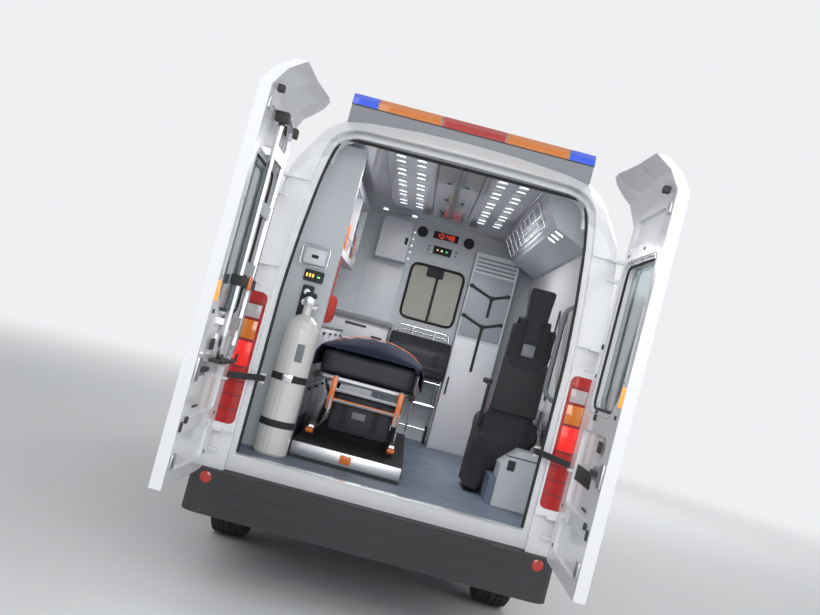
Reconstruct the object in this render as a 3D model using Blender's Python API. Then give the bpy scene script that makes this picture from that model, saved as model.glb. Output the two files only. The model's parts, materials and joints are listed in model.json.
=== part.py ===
"""A large high-roof panel-van ambulance, rear doors open, built as separate panels and fittings.

Units are metres, +Z is up, +Y is the front of the vehicle and +X its right-hand side. The origin is
on the floor, midway along and across the vehicle as it stands, open rear doors included.
Lengths called "from nose" are measured backwards from the foremost point of the bumper.
"""
import math

import bmesh
import bpy
from mathutils import Matrix, Vector

# Driving dimensions of the vehicle
BODY_LENGTH = 5.91
HALF_WIDTH = 0.9965
ROOF_HEIGHT = 2.73
COWL_HEIGHT = 1.265
SKIRT_BOTTOM = 0.33
BELT_HEIGHT = 1.10
TUMBLEHOME = 0.105
SIDE_BOW = 0.008
BOW_SHARE = 0.30
ROOF_CORNER = 0.32
ROOF_CROWN = 0.03
TAIL_TAPER = 0.02
WALL = 0.06
WHEELBASE = 3.665
FRONT_OVERHANG = 1.00
TRACK = 1.71
TYRE_RADIUS = 0.3555
RIM_RADIUS = 0.205
ARCH_RADIUS = 0.43
LOAD_FLOOR = 0.68
CAB_FLOOR = 0.60

# Clearances
SEAT = 0.0003
SHUT = 0.009
PIN_CLEARANCE = 0.0005
FLAT_ANGLE = math.radians(0.01)


def rise(share):
    """A height between the cowl, at 0, and the roof's middle, at 1."""
    return COWL_HEIGHT + share * (ROOF_HEIGHT - COWL_HEIGHT)


# Heights that follow the roof
GUTTER_HEIGHT = rise(0.727)
CAB_JOINT_HEIGHT = rise(0.55)
CEILING_LOW = rise(0.891)
CEILING_THICKNESS = 0.035

# Rear opening and doors
APERTURE_HALF = 0.7825
APERTURE_TOP = rise(0.836)
APERTURE_CORNER = 0.12
DOOR_REBATE = 0.030
TOP_REBATE = 0.050
REAR_DOOR_THICKNESS = 0.055
REAR_DOOR_BOTTOM = 0.60
REAR_FRAME_DEPTH = 0.30
SILL_DEPTH = 0.13
REAR_HINGE_X = 0.965
REAR_HINGE_OUT = 0.016
REAR_DOOR_OPEN = math.radians(90)
CHECK_ARM_HEIGHT = 1.10
BUMPER_LOW = 0.36
BUMPER_HIGH = 0.59

# Places along the vehicle, from the nose
BONNET_FRONT = 0.17
BONNET_REAR = 0.80
FIREWALL = 0.95
WINDSCREEN_TOP = 1.60
B_PILLAR_REAR = 2.20
BULKHEAD_FRONT = 2.40
BULKHEAD_THICKNESS = 0.05
SLIDING_DOOR_FRONT = 2.48
SLIDING_DOOR_REAR = 3.74
JACKING_PLACE = 3.14325

DOOR_REACH = REAR_HINGE_X - SHUT / 2 + REAR_HINGE_OUT
FRONT_Y = (BODY_LENGTH + DOOR_REACH) / 2
REAR_Y = FRONT_Y - BODY_LENGTH

# name: (red, green, blue, roughness, metallic)
FINISHES = {
    "white_paint": (0.86, 0.87, 0.88, 0.30, 0.0),
    "black_plastic": (0.03, 0.03, 0.035, 0.60, 0.0),
    "rubber": (0.02, 0.02, 0.02, 0.85, 0.0),
    "glass": (0.10, 0.13, 0.14, 0.05, 0.0),
    "lamp_red": (0.55, 0.03, 0.03, 0.20, 0.0),
    "lamp_blue": (0.05, 0.15, 0.80, 0.15, 0.0),
    "lamp_clear": (0.80, 0.82, 0.85, 0.10, 0.0),
    "steel": (0.55, 0.56, 0.58, 0.35, 1.0),
    "dark_steel": (0.10, 0.10, 0.11, 0.55, 0.8),
    "aluminium": (0.75, 0.76, 0.78, 0.30, 1.0),
    "trim_grey": (0.62, 0.64, 0.67, 0.55, 0.0),
    "floor_vinyl": (0.28, 0.32, 0.38, 0.50, 0.0),
    "seat_fabric": (0.06, 0.06, 0.07, 0.80, 0.0),
    "mattress": (0.05, 0.05, 0.06, 0.65, 0.0),
    "cylinder_white": (0.85, 0.85, 0.83, 0.35, 0.0),
}


def clear_scene():
    """Start from an empty scene."""
    for item in list(bpy.data.objects):
        bpy.data.objects.remove(item, do_unlink=True)


def finish(name):
    """Return the material of that name, made once."""
    if name in bpy.data.materials:
        return bpy.data.materials[name]
    red, green, blue, roughness, metallic = FINISHES[name]
    material = bpy.data.materials.new(name)
    material.use_nodes = True
    shader = material.node_tree.nodes["Principled BSDF"]
    shader.inputs["Base Color"].default_value = (red, green, blue, 1.0)
    shader.inputs["Roughness"].default_value = roughness
    shader.inputs["Metallic"].default_value = metallic
    return material


def at(from_nose):
    """The Y place of a length measured back from the nose."""
    return FRONT_Y - from_nose


def tail(from_rear):
    """The Y place of a length measured forwards from the body's rear face."""
    return REAR_Y + from_rear


def to_object(name, bm, material="white_paint"):
    """Turn a bmesh into a scene object with its faces pointing out."""
    bmesh.ops.recalc_face_normals(bm, faces=bm.faces)
    mesh = bpy.data.meshes.new(name)
    bm.to_mesh(mesh)
    bm.free()
    item = bpy.data.objects.new(name, mesh)
    bpy.context.collection.objects.link(item)
    mesh.materials.append(finish(material))
    return item


def apply_modifiers(item):
    """Replace an object's mesh by its evaluated one."""
    graph = bpy.context.evaluated_depsgraph_get()
    mesh = bpy.data.meshes.new_from_object(item.evaluated_get(graph))
    item.modifiers.clear()
    item.data = mesh


def carve(body, *tools, operation="DIFFERENCE"):
    """Cut, add or keep each tool's volume, and remove the tool."""
    for tool in tools:
        modifier = body.modifiers.new("shape", "BOOLEAN")
        modifier.operation = operation
        modifier.solver = "EXACT"
        modifier.object = tool
        apply_modifiers(body)
        bpy.data.objects.remove(tool, do_unlink=True)
    return body


def fuse(body, *tools):
    """Join solids that cross each other into one."""
    return carve(body, *tools, operation="UNION")


def keep(body, *tools):
    """Keep only what lies inside each tool."""
    return carve(body, *tools, operation="INTERSECT")


def copy_of(item, name):
    """A second object with its own copy of the mesh."""
    twin = item.copy()
    twin.data = item.data.copy()
    twin.name = name
    bpy.context.collection.objects.link(twin)
    return twin


def merge_flat(item):
    """Merge faces that lie in one plane and drop the points that they no longer need."""
    bm = bmesh.new()
    bm.from_mesh(item.data)
    bmesh.ops.dissolve_limit(bm, angle_limit=FLAT_ANGLE, verts=bm.verts, edges=bm.edges)
    bm.to_mesh(item.data)
    bm.free()


def rename(item, name, material):
    """Give a finished piece its node name and its finish."""
    merge_flat(item)
    item.name = name
    item.data.name = name
    item.data.materials.clear()
    item.data.materials.append(finish(material))
    return item


def add_prism(bm, points, axis, low, high):
    """Add a flat outline pushed along an axis: X takes (y, z), Y takes (x, z), Z takes (x, y)."""
    place = {
        "X": lambda u, v, w: (w, u, v),
        "Y": lambda u, v, w: (u, w, v),
        "Z": lambda u, v, w: (u, v, w),
    }[axis]
    near = [bm.verts.new(place(u, v, low)) for u, v in points]
    far = [bm.verts.new(place(u, v, high)) for u, v in points]
    bm.faces.new(near)
    bm.faces.new(reversed(far))
    count = len(points)
    for i in range(count):
        j = (i + 1) % count
        bm.faces.new((near[i], near[j], far[j], far[i]))


def prism(points, axis, low, high, name="tool", material="white_paint"):
    """One solid of a flat outline pushed along an axis."""
    bm = bmesh.new()
    add_prism(bm, points, axis, low, high)
    return to_object(name, bm, material)


def moved(item, forward):
    """Shift a solid towards the nose and return it."""
    item.data.transform(Matrix.Translation((0.0, forward, 0.0)))
    return item


def block(x, y, z, name="tool", material="white_paint"):
    """A rectangular solid between pairs of limits."""
    outline = [(x[0], y[0]), (x[1], y[0]), (x[1], y[1]), (x[0], y[1])]
    return prism(outline, "Z", z[0], z[1], name, material)


def rounded(points, radius, steps=4):
    """Round each corner of an outline; radius is one value, or one for each corner."""
    count = len(points)
    radii = radius if isinstance(radius, (list, tuple)) else [radius] * count
    outline = []
    for i, (corner, fillet) in enumerate(zip(points, radii)):
        here = Vector(corner)
        back = Vector(points[i - 1]) - here
        ahead = Vector(points[(i + 1) % count]) - here
        if fillet <= 0:
            outline.append(tuple(here))
            continue
        half = back.angle(ahead) / 2
        reach = min(fillet / math.tan(half), 0.49 * back.length, 0.49 * ahead.length)
        fillet = reach * math.tan(half)
        middle = (back.normalized() + ahead.normalized()).normalized()
        centre = here + middle * fillet / math.sin(half)
        first = here + back.normalized() * reach - centre
        last = here + ahead.normalized() * reach - centre
        turn = first.angle_signed(last)
        for step in range(steps + 1):
            arm = Matrix.Rotation(-turn * step / steps, 2) @ first
            outline.append(tuple(centre + arm))
    return outline


def rectangle(u, v):
    """The four corners between pairs of limits."""
    return [(u[0], v[0]), (u[1], v[0]), (u[1], v[1]), (u[0], v[1])]


def disc(centre, radius, axis, low, high, steps=24, name="tool", material="white_paint"):
    """A cylinder along an axis."""
    ring = [
        (
            centre[0] + radius * math.cos(math.tau * i / steps),
            centre[1] + radius * math.sin(math.tau * i / steps),
        )
        for i in range(steps)
    ]
    return prism(ring, axis, low, high, name, material)


def bar(start, end, radius, steps=10, name="tool", material="steel"):
    """A round bar between two points."""
    start, end = Vector(start), Vector(end)
    along = end - start
    turn = along.to_track_quat("Z", "Y").to_matrix().to_4x4()
    ring = [
        (radius * math.cos(math.tau * i / steps), radius * math.sin(math.tau * i / steps))
        for i in range(steps)
    ]
    item = prism(ring, "Z", 0.0, along.length, name, material)
    item.data.transform(Matrix.Translation(start) @ turn)
    return item


def tube(path, radius, steps=8, phase=0.2, closed=False, name="tool", material="steel"):
    """A round tube along a path of points, mitred at each one; a closed path makes a loop."""
    points = [Vector(point) for point in path]
    count = len(points)
    bm = bmesh.new()
    rings = []
    side = None
    for i, here in enumerate(points):
        back = here - points[i - 1] if closed or i > 0 else points[1] - here
        ahead = points[(i + 1) % count] - here if closed or i < count - 1 else back
        along = (back.normalized() + ahead.normalized()).normalized()
        if side is None:
            side = along.orthogonal().normalized()
        side = (side - along * side.dot(along)).normalized()
        other = along.cross(side)
        spread = 1.0 / max(along.dot(back.normalized()), 0.5)
        bend = ahead.normalized() - back.normalized()
        ring = []
        for k in range(steps):
            angle = phase + math.tau * k / steps
            offset = (side * math.cos(angle) + other * math.sin(angle)) * radius
            if bend.length > 1e-6:
                out = bend.normalized()
                offset += out * offset.dot(out) * (spread - 1.0)
            ring.append(bm.verts.new(here + offset))
        rings.append(ring)
    last = count if closed else count - 1
    for i in range(last):
        here, there = rings[i], rings[(i + 1) % count]
        for k in range(steps):
            m = (k + 1) % steps
            bm.faces.new((here[k], here[m], there[m], there[k]))
    if not closed:
        bm.faces.new(rings[0])
        bm.faces.new(rings[-1])
    item = to_object(name, bm, material)
    item.data.shade_smooth()
    item.data.set_sharp_from_angle(angle=math.radians(50))
    return item


def revolve(profile, steps, centre, name, material, smooth_angle=35):
    """Spin a closed (x, radius) outline about an axis along X through the centre."""
    bm = bmesh.new()
    rings = []
    for i in range(steps):
        angle = math.tau * i / steps
        rings.append(
            [
                bm.verts.new(
                    (
                        centre[0] + x,
                        centre[1] + radius * math.cos(angle),
                        centre[2] + radius * math.sin(angle),
                    )
                )
                for x, radius in profile
            ]
        )
    count = len(profile)
    for i in range(steps):
        here, there = rings[i], rings[(i + 1) % steps]
        for k in range(count):
            m = (k + 1) % count
            bm.faces.new((here[k], here[m], there[m], there[k]))
    item = to_object(name, bm, material)
    item.data.shade_smooth()
    item.data.set_sharp_from_angle(angle=math.radians(smooth_angle))
    return item


def lathe(profile, centre, steps, name="tool", material="steel"):
    """Turn a (radius, height) outline about an upright axis, with flat ends."""
    bm = bmesh.new()
    rings = [
        [
            bm.verts.new(
                (
                    centre[0] + radius * math.cos(math.tau * i / steps),
                    centre[1] + radius * math.sin(math.tau * i / steps),
                    height,
                )
            )
            for i in range(steps)
        ]
        for radius, height in profile
    ]
    bm.faces.new(rings[0])
    bm.faces.new(rings[-1])
    for here, there in zip(rings, rings[1:]):
        for i in range(steps):
            j = (i + 1) % steps
            bm.faces.new((here[i], here[j], there[j], there[i]))
    item = to_object(name, bm, material)
    item.data.shade_smooth()
    item.data.set_sharp_from_angle(angle=math.radians(35))
    return item


# Outer form of the body, nose to tail
# Columns: from nose, half width, underside height, top height, corner radius
STATIONS = (
    (0.000, 0.62, 0.36, 0.615, 0.05),
    (0.030, 0.76, 0.29, 0.80, 0.07),
    (0.090, 0.87, 0.25, 0.955, 0.09),
    (0.220, 0.935, 0.24, 1.045, 0.12),
    (0.500, 0.975, 0.24, 1.150, 0.14),
    (0.840, 0.990, 0.25, COWL_HEIGHT, 0.15),
    (1.100, HALF_WIDTH, 0.28, rise(0.208), 0.16),
    (1.340, HALF_WIDTH, SKIRT_BOTTOM, rise(0.400), 0.18),
    (1.600, HALF_WIDTH, SKIRT_BOTTOM, rise(0.597), 0.21),
    (1.900, HALF_WIDTH, SKIRT_BOTTOM, rise(0.775), 0.26),
    (2.250, HALF_WIDTH, SKIRT_BOTTOM, rise(0.911), ROOF_CORNER),
    (2.700, HALF_WIDTH, SKIRT_BOTTOM, rise(0.980), ROOF_CORNER),
    (3.200, HALF_WIDTH, SKIRT_BOTTOM, ROOF_HEIGHT, ROOF_CORNER),
    (BODY_LENGTH - 0.60, HALF_WIDTH, SKIRT_BOTTOM, ROOF_HEIGHT, ROOF_CORNER),
    (BODY_LENGTH - 0.45, HALF_WIDTH, SKIRT_BOTTOM, rise(0.980), ROOF_CORNER),
    (BODY_LENGTH - 0.30, HALF_WIDTH, SKIRT_BOTTOM, rise(0.939), ROOF_CORNER),
    (BODY_LENGTH - 0.17, HALF_WIDTH, SKIRT_BOTTOM, rise(0.884), ROOF_CORNER),
    (BODY_LENGTH - 0.05, HALF_WIDTH, SKIRT_BOTTOM, rise(0.829), ROOF_CORNER),
    (BODY_LENGTH, HALF_WIDTH - TAIL_TAPER, SKIRT_BOTTOM, rise(0.775), ROOF_CORNER),
)


def side_lean(height):
    """How far the side leans in at a height."""
    share = max(0.0, height - BELT_HEIGHT) / (GUTTER_HEIGHT - BELT_HEIGHT)
    return TUMBLEHOME * share ** 1.6


def section(half_width, low, high, corner, arc_steps=4):
    """Right half of a cross-section, from the underside's middle round to the roof's middle."""
    crown = high - ROOF_CROWN
    shoulder = crown - corner
    half = [(0.0, low), (half_width - 0.07, low), (half_width - 0.012, low + 0.06)]
    for share in (BOW_SHARE, 0.62, 0.82, 1.0):
        height = low + (shoulder - low) * share
        edge = half_width - side_lean(height) - SIDE_BOW * (share - BOW_SHARE) ** 2
        half.append((edge, height))
    for i in range(1, arc_steps + 1):
        angle = math.pi / 2 * i / arc_steps
        half.append((edge - corner * (1 - math.cos(angle)), shoulder + corner * math.sin(angle)))
    half.append(((edge - corner) * 0.5, crown + ROOF_CROWN * 0.75))
    half.append((0.0, high))
    return half


def envelope(inset=0.0, first=0.0, last=BODY_LENGTH, low=None, name="envelope"):
    """The body's outer form moved in by inset, between two stations; low sets its underside."""
    rows = [row for row in STATIONS if first < row[0] < last]
    for end in (first, last):
        rows.append(station_at(end))
    rings = []
    for place, half_width, underside, top, corner in sorted(rows):
        base = underside if low is None else low
        slope = (station_at(place + 0.05)[3] - station_at(place - 0.05)[3]) / 0.10
        drop = inset * math.hypot(1.0, slope)
        half = section(half_width - inset, base, top - drop, max(corner - inset, 0.01))
        ring = [(x, at(place), z) for x, z in half]
        ring += [(-x, at(place), z) for x, z in reversed(half[1:-1])]
        rings.append(ring)
    bm = bmesh.new()
    levels = [[bm.verts.new(point) for point in ring] for ring in rings]
    count = len(levels[0])
    bm.faces.new(levels[0])
    bm.faces.new(levels[-1])
    for here, there in zip(levels, levels[1:]):
        for k in range(count):
            m = (k + 1) % count
            bm.faces.new((here[k], here[m], there[m], there[k]))
    bmesh.ops.triangulate(bm, faces=bm.faces)
    return to_object(name, bm)


def station_at(place):
    """The station's columns at any length from the nose."""
    place = min(max(place, STATIONS[0][0]), STATIONS[-1][0])
    for before, after in zip(STATIONS, STATIONS[1:]):
        if before[0] <= place <= after[0]:
            share = (place - before[0]) / (after[0] - before[0])
            return tuple(a + (b - a) * share for a, b in zip(before, after))
    return STATIONS[-1]


def roof_top(place):
    """Height of the roof's middle line at a length from the nose."""
    return station_at(place)[3]


# Side-view and rear-view outlines
def side_outline(points):
    """Turn (from nose, height) pairs into (y, z) pairs."""
    return [(at(place), height) for place, height in points]


def grow(points, amount):
    """Offset an outline outwards by an amount."""
    count = len(points)
    area = sum(
        points[i][0] * points[(i + 1) % count][1] - points[(i + 1) % count][0] * points[i][1]
        for i in range(count)
    )
    sign = 1.0 if area > 0 else -1.0
    result = []
    for i in range(count):
        before, here, after = Vector(points[i - 1]), Vector(points[i]), Vector(points[(i + 1) % count])
        one, two = (here - before).normalized(), (after - here).normalized()
        normal_one = Vector((one.y, -one.x)) * sign
        normal_two = Vector((two.y, -two.x)) * sign
        middle = (normal_one + normal_two).normalized()
        result.append(tuple(here + middle * amount / max(middle.dot(normal_one), 0.3)))
    return result


FRONT_AXLE = FRONT_OVERHANG
REAR_AXLE = FRONT_OVERHANG + WHEELBASE
ARCH_LIP = ARCH_RADIUS + 0.045
ARCH_STEPS = 28
CAB_DOOR_FRONT = 1.09
CAB_DOOR_REAR = 2.11
CAB_DOOR_BOTTOM = 0.43

CAB_DOOR = side_outline(
    [
        (FRONT_AXLE + ARCH_LIP * math.cos(a), TYRE_RADIUS + ARCH_LIP * math.sin(a))
        for a in (math.radians(d) for d in (79, 58, 36, 14))
    ]
    + [
        (FRONT_AXLE + ARCH_LIP, CAB_DOOR_BOTTOM),
        (CAB_DOOR_REAR, CAB_DOOR_BOTTOM),
        (CAB_DOOR_REAR, rise(0.50)),
        (1.74, rise(0.52)),
        (1.66, rise(0.50)),
        (CAB_DOOR_FRONT, rise(0.065)),
    ]
)
CAB_WINDOW = rounded(
    side_outline([(1.17, 1.28), (2.02, 1.24), (2.02, rise(0.454)), (1.72, rise(0.468))]), 0.05, 3
)
SLIDING_DOOR = rounded(
    side_outline(rectangle((SLIDING_DOOR_FRONT, SLIDING_DOOR_REAR), (CAB_DOOR_BOTTOM, rise(0.62)))), 0.09, 3
)
SLIDING_WINDOW = rounded(
    side_outline(rectangle((SLIDING_DOOR_FRONT + 0.14, SLIDING_DOOR_REAR - 0.14), (1.27, rise(0.45)))), 0.07, 3
)
BONNET_SIDE = side_outline(
    [
        (BONNET_FRONT, roof_top(BONNET_FRONT) - 0.07),
        (BONNET_REAR, roof_top(BONNET_REAR) - 0.06),
        (BONNET_REAR, roof_top(BONNET_REAR) + 0.10),
        (BONNET_FRONT, roof_top(BONNET_FRONT) + 0.10),
    ]
)
BONNET_HALF = 0.66
BONNET_BUFFERS = (0.36, 0.72)
SCREEN_LOW, SCREEN_HIGH = rise(0.055), rise(0.54)
WINDSCREEN = rounded(
    [(-0.80, SCREEN_LOW), (0.80, SCREEN_LOW), (0.68, SCREEN_HIGH), (-0.68, SCREEN_HIGH)], 0.07, 3
)
BAY_HALF = 0.50
HEADLAMP = rounded([(0.50, 0.70), (0.80, 0.66), (0.90, 0.90), (0.80, 1.02), (0.56, 0.90)], 0.03, 2)
GRILLE_HALF = 0.46
GRILLE_LOW = 0.66
GRILLE_HIGH = 0.885
BUMPER_TOP = 0.60
BUMPER_REAR = 0.50
TAIL_LAMP = rounded(rectangle((0.822, 1.05), (0.83, 1.54)), [0.03, 0, 0, 0.03], 2)
TAIL_LAMP_DEPTH = 0.06


def bonnet_underside(place):
    """Height of the bonnet's lower face at a length from the nose."""
    share = (place - BONNET_FRONT) / (BONNET_REAR - BONNET_FRONT)
    return BONNET_SIDE[0][1] + (BONNET_SIDE[1][1] - BONNET_SIDE[0][1]) * share


def mirrored(points, side):
    """An (x, z) or (x, y) outline for one side of the vehicle."""
    return [(side * u, v) for u, v in points]


def side_range(side, inner, outer):
    """X limits of a cutter on one side, in rising order."""
    return tuple(sorted((side * inner, side * outer)))


def arch_tool(place, side, inner):
    """The wheel arch's round opening."""
    low, high = side_range(side, inner, 1.3)
    return disc((at(place), TYRE_RADIUS), ARCH_RADIUS, "X", low, high, steps=ARCH_STEPS)


# Side edge of the rear opening. Columns: share of its height, how far the edge leans in
APERTURE_EDGE = ((0.0, 0.0), (0.508, 0.0), (0.674, 0.0175), (0.840, 0.0475), (1.0, 0.0925))
DOOR_TOP = APERTURE_TOP + TOP_REBATE


def aperture_height(share):
    """A height in the rear opening, from its sill at 0 to its header at 1."""
    return LOAD_FLOOR + share * (APERTURE_TOP - LOAD_FLOOR)


def aperture_half(height):
    """Half the rear opening's width at a height; past its ends the edge runs straight on."""
    share = (height - LOAD_FLOOR) / (APERTURE_TOP - LOAD_FLOOR)
    for before, after in zip(APERTURE_EDGE, APERTURE_EDGE[1:]):
        if share <= after[0] or after is APERTURE_EDGE[-1]:
            part = (share - before[0]) / (after[0] - before[0])
            return APERTURE_HALF - max(0.0, before[1] + (after[1] - before[1]) * part)


def rear_outline():
    """Clear rear opening, drawn as (x, z)."""
    half = [(APERTURE_HALF - lean, aperture_height(share)) for share, lean in APERTURE_EDGE]
    outline = half + mirrored(reversed(half), -1)
    corners = [APERTURE_CORNER if z == APERTURE_TOP else 0.0 for x, z in outline]
    return rounded(outline, corners)


def door_level(share):
    """A height on a rear door, from its foot at 0 to its top at 1."""
    return REAR_DOOR_BOTTOM + share * (DOOR_TOP - REAR_DOOR_BOTTOM)


def door_outline(side, shrink, meeting=None):
    """One rear door's outline, drawn shut as (x, z); meeting is the place of its free edge."""
    free = shrink / 2 if meeting is None else meeting
    low, top = REAR_DOOR_BOTTOM + shrink, DOOR_TOP - shrink
    levels = [low] + [aperture_height(share) for share, lean in APERTURE_EDGE[1:-1]] + [top]
    outer = [(aperture_half(level) + DOOR_REBATE - shrink, level) for level in levels]
    radii = [0.0, 0.03, 0.0, 0.0, 0.0, APERTURE_CORNER + DOOR_REBATE, 0.0]
    return mirrored(rounded([(free, low), *outer, (free, top)], radii), side)


def build_shell():
    """The hollow body, one wall thick, open underneath and behind the cab's front wall."""
    shell = envelope(0.0, name="shell")
    hollow = envelope(WALL, FIREWALL, BODY_LENGTH - REAR_FRAME_DEPTH, low=-0.2)
    return carve(shell, hollow)


def roof_outline(trim):
    """Side view of the space that the roof panel takes, less a trim at its joints."""
    front, rear = WINDSCREEN_TOP + trim, BODY_LENGTH - REAR_FRAME_DEPTH - trim
    return side_outline(
        [(front, CAB_JOINT_HEIGHT + trim), (B_PILLAR_REAR, GUTTER_HEIGHT + trim), (rear, GUTTER_HEIGHT + trim),
         (rear, 3.0), (front, 3.0)]
    )


def build_roof(shell):
    """Roof skin from the windscreen header to the rear frame."""
    roof = copy_of(shell, "roof")
    keep(roof, prism(roof_outline(SEAT), "X", -1.2, 1.2))
    return rename(roof, "roof", "white_paint")


def build_side(shell, side, name):
    """One side of the load space, with its wheel arch, and the sliding door's opening at right."""
    panel = copy_of(shell, name)
    front, rear = at(B_PILLAR_REAR + SEAT), at(BODY_LENGTH - REAR_FRAME_DEPTH - SEAT)
    keep(panel, block(side_range(side, 0.3, 1.3), (rear, front), (-0.5, GUTTER_HEIGHT - SEAT)))
    carve(panel, arch_tool(REAR_AXLE, side, 0.3))
    if side > 0:
        carve(panel, prism(grow(SLIDING_DOOR, SEAT), "X", 0.5, 1.3))
    return rename(panel, name, "white_paint")


def build_sliding_door(shell):
    """Sliding side door and its window; it stays shut."""
    door = copy_of(shell, "sliding_door")
    keep(door, prism(SLIDING_DOOR, "X", 0.5, 1.3))
    carve(door, prism(SLIDING_WINDOW, "X", 0.5, 1.3))
    rename(door, "sliding_door", "white_paint")
    pane("sliding_door_glass", SLIDING_WINDOW, "X", 0.5, 1.3)


GLASS_INSET = 0.012
GLASS_THICKNESS = 0.005


def pane(name, outline, axis, low, high):
    """A window pane that follows the body's curve, cut to an outline."""
    glass = envelope(GLASS_INSET, 0.5, BODY_LENGTH - 0.2, low=-0.2)
    carve(glass, envelope(GLASS_INSET + GLASS_THICKNESS, 0.4, BODY_LENGTH - 0.1, low=-0.3))
    keep(glass, prism(grow(outline, -SEAT), axis, low, high))
    return rename(glass, name, "glass")


def build_front_body():
    """Wings, front pillars, cowl, front wall and door pillars as one pressed structure."""
    body = envelope(0.0, last=B_PILLAR_REAR - SEAT, name="front_body")
    tunnel = block((-0.60, 0.60), (at(1.16), at(0.84)), (-0.2, CAB_FLOOR - 0.04 + SEAT))
    hollow = envelope(WALL, 1.50, 2.6, low=-0.2)
    carve(body, hollow)
    upper = envelope(WALL, FIREWALL, 1.60, low=0.84)
    carve(body, upper)
    footwell = block((-BAY_HALF, BAY_HALF), (at(1.60), at(FIREWALL + 0.05)), (-0.2, 1.0))
    carve(body, footwell)
    bay = prism(
        side_outline([(0.16, -0.2), (0.88, -0.2), (0.88, 1.16), (0.16, 0.90)]), "X", -BAY_HALF, BAY_HALF
    )
    carve(body, bay)
    carve(body, tunnel)
    for side in (1, -1):
        low, high = side_range(side, 0.52, 1.3)
        wheel_space = disc((at(FRONT_AXLE), TYRE_RADIUS), ARCH_RADIUS, "X", low, high, steps=ARCH_STEPS)
        carve(body, wheel_space)
        doorway = prism(grow(CAB_DOOR, SHUT), "X", *side_range(side, 0.6, 1.3))
        housing = block(side_range(side, 0.5, 0.915), (at(1.55), at(0.90)), (0.0, 0.86))
        carve(body, carve(doorway, housing))
        low, high = sorted((at(0.30), at(-0.2)))
        carve(body, prism(grow(mirrored(HEADLAMP, side), SEAT), "Y", low, high))
        add_cab_lugs(body, side)
    carve(body, prism(grow(BONNET_SIDE, SHUT), "X", -BONNET_HALF - SHUT, BONNET_HALF + SHUT))
    carve(body, prism(WINDSCREEN, "Y", at(1.80), at(0.82)))
    carve(body, block((-1.2, 1.2), (at(BUMPER_REAR + SEAT), at(-0.2)), (0.0, BUMPER_TOP + SEAT)))
    opening = rectangle((-GRILLE_HALF - SEAT, GRILLE_HALF + SEAT), (GRILLE_LOW - SEAT, GRILLE_HIGH + SEAT))
    carve(body, prism(opening, "Y", at(0.30), at(-0.2)))
    carve(body, prism(grow(roof_outline(0.0), SEAT), "X", -1.2, 1.2))
    for side in (1, -1):
        for place in BONNET_BUFFERS:
            ends = (place - 0.02, place + 0.02)
            top = [(end, bonnet_underside(end) - 2 * SEAT) for end in ends]
            foot = [(ends[1], top[1][1] - 0.04), (ends[0], top[0][1] - 0.04)]
            fuse(body, prism(side_outline(top + foot), "X", *side_range(side, 0.56, 0.60)))
    return rename(body, "front_body", "white_paint")


def build_nose():
    """Bonnet, bumper, grille and headlamps, each cut from the body's outer form."""
    bonnet = envelope(0.0, last=1.2, name="bonnet")
    keep(bonnet, prism(BONNET_SIDE, "X", -BONNET_HALF, BONNET_HALF))
    rename(bonnet, "bonnet", "white_paint")

    bumper = envelope(0.0, last=0.70, name="front_bumper")
    keep(bumper, block((-1.2, 1.2), (at(BUMPER_REAR), at(-0.2)), (0.0, BUMPER_TOP)))
    carve(bumper, block((-0.80, 0.80), (at(1.0), at(0.13)), (0.0, 1.0)))
    intake = rounded(rectangle((-0.42, 0.42), (0.33, 0.46)), 0.03, 2)
    carve(bumper, prism(intake, "Y", at(0.3), at(-0.2)))
    rename(bumper, "front_bumper", "black_plastic")

    grille = envelope(0.0, last=0.6, name="grille")
    face = rectangle((-GRILLE_HALF, GRILLE_HALF), (GRILLE_LOW, GRILLE_HIGH))
    keep(grille, prism(face, "Y", at(0.158), at(-0.2)))
    slot_pitch = (GRILLE_HIGH - GRILLE_LOW) / 4
    for i in range(3):
        middle = GRILLE_LOW + slot_pitch * (i + 1)
        slot = rectangle((-GRILLE_HALF + 0.05, GRILLE_HALF - 0.05), (middle - 0.015, middle + 0.015))
        carve(grille, prism(rounded(slot, 0.012, 2), "Y", at(0.5), at(-0.2)))
    rename(grille, "grille", "black_plastic")

    for side, name in ((1, "headlamp_right"), (-1, "headlamp_left")):
        lamp = envelope(0.004, last=0.6, name=name)
        low, high = sorted((at(0.30 - SEAT), at(-0.2)))
        keep(lamp, prism(mirrored(HEADLAMP, side), "Y", low, high))
        carve(lamp, prism(grow(BONNET_SIDE, SHUT), "X", -BONNET_HALF - SHUT, BONNET_HALF + SHUT))
        rename(lamp, name, "lamp_clear")
    pane("windscreen", WINDSCREEN, "Y", at(1.80), at(0.82))


HINGE_X = HALF_WIDTH + 0.004
CAB_HINGE_Y = at(CAB_DOOR_FRONT) + 0.020
CAB_HINGE_HEIGHTS = (0.93, 1.22)
CAB_HINGE_HALF = 0.03
CAB_BARREL = 0.012
CAB_NOTCH = 0.026
MIRROR_REACH = 0.2185


def add_cab_lugs(body, side):
    """Notches for a cab door's hinge barrels, with a lug of the body over and under each."""
    for height in CAB_HINGE_HEIGHTS:
        ends = (height - CAB_HINGE_HALF - 0.003, height + CAB_HINGE_HALF + 0.003)
        carve(body, block(side_range(side, HINGE_X - CAB_NOTCH, 1.2),
                          (CAB_HINGE_Y - CAB_NOTCH, CAB_HINGE_Y + CAB_NOTCH), ends))
        for end in (-1, 1):
            near = height + end * (CAB_HINGE_HALF + SEAT)
            low, high = sorted((near, near + end * 0.014))
            lug = disc((side * HINGE_X, CAB_HINGE_Y), CAB_BARREL - 0.001, "Z", low, high, 8)
            root = block(side_range(side, HALF_WIDTH - 0.025, HINGE_X + 0.002),
                         (CAB_HINGE_Y - 0.007, CAB_HINGE_Y + 0.0085), (low, high))
            fuse(body, fuse(lug, root))


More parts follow.
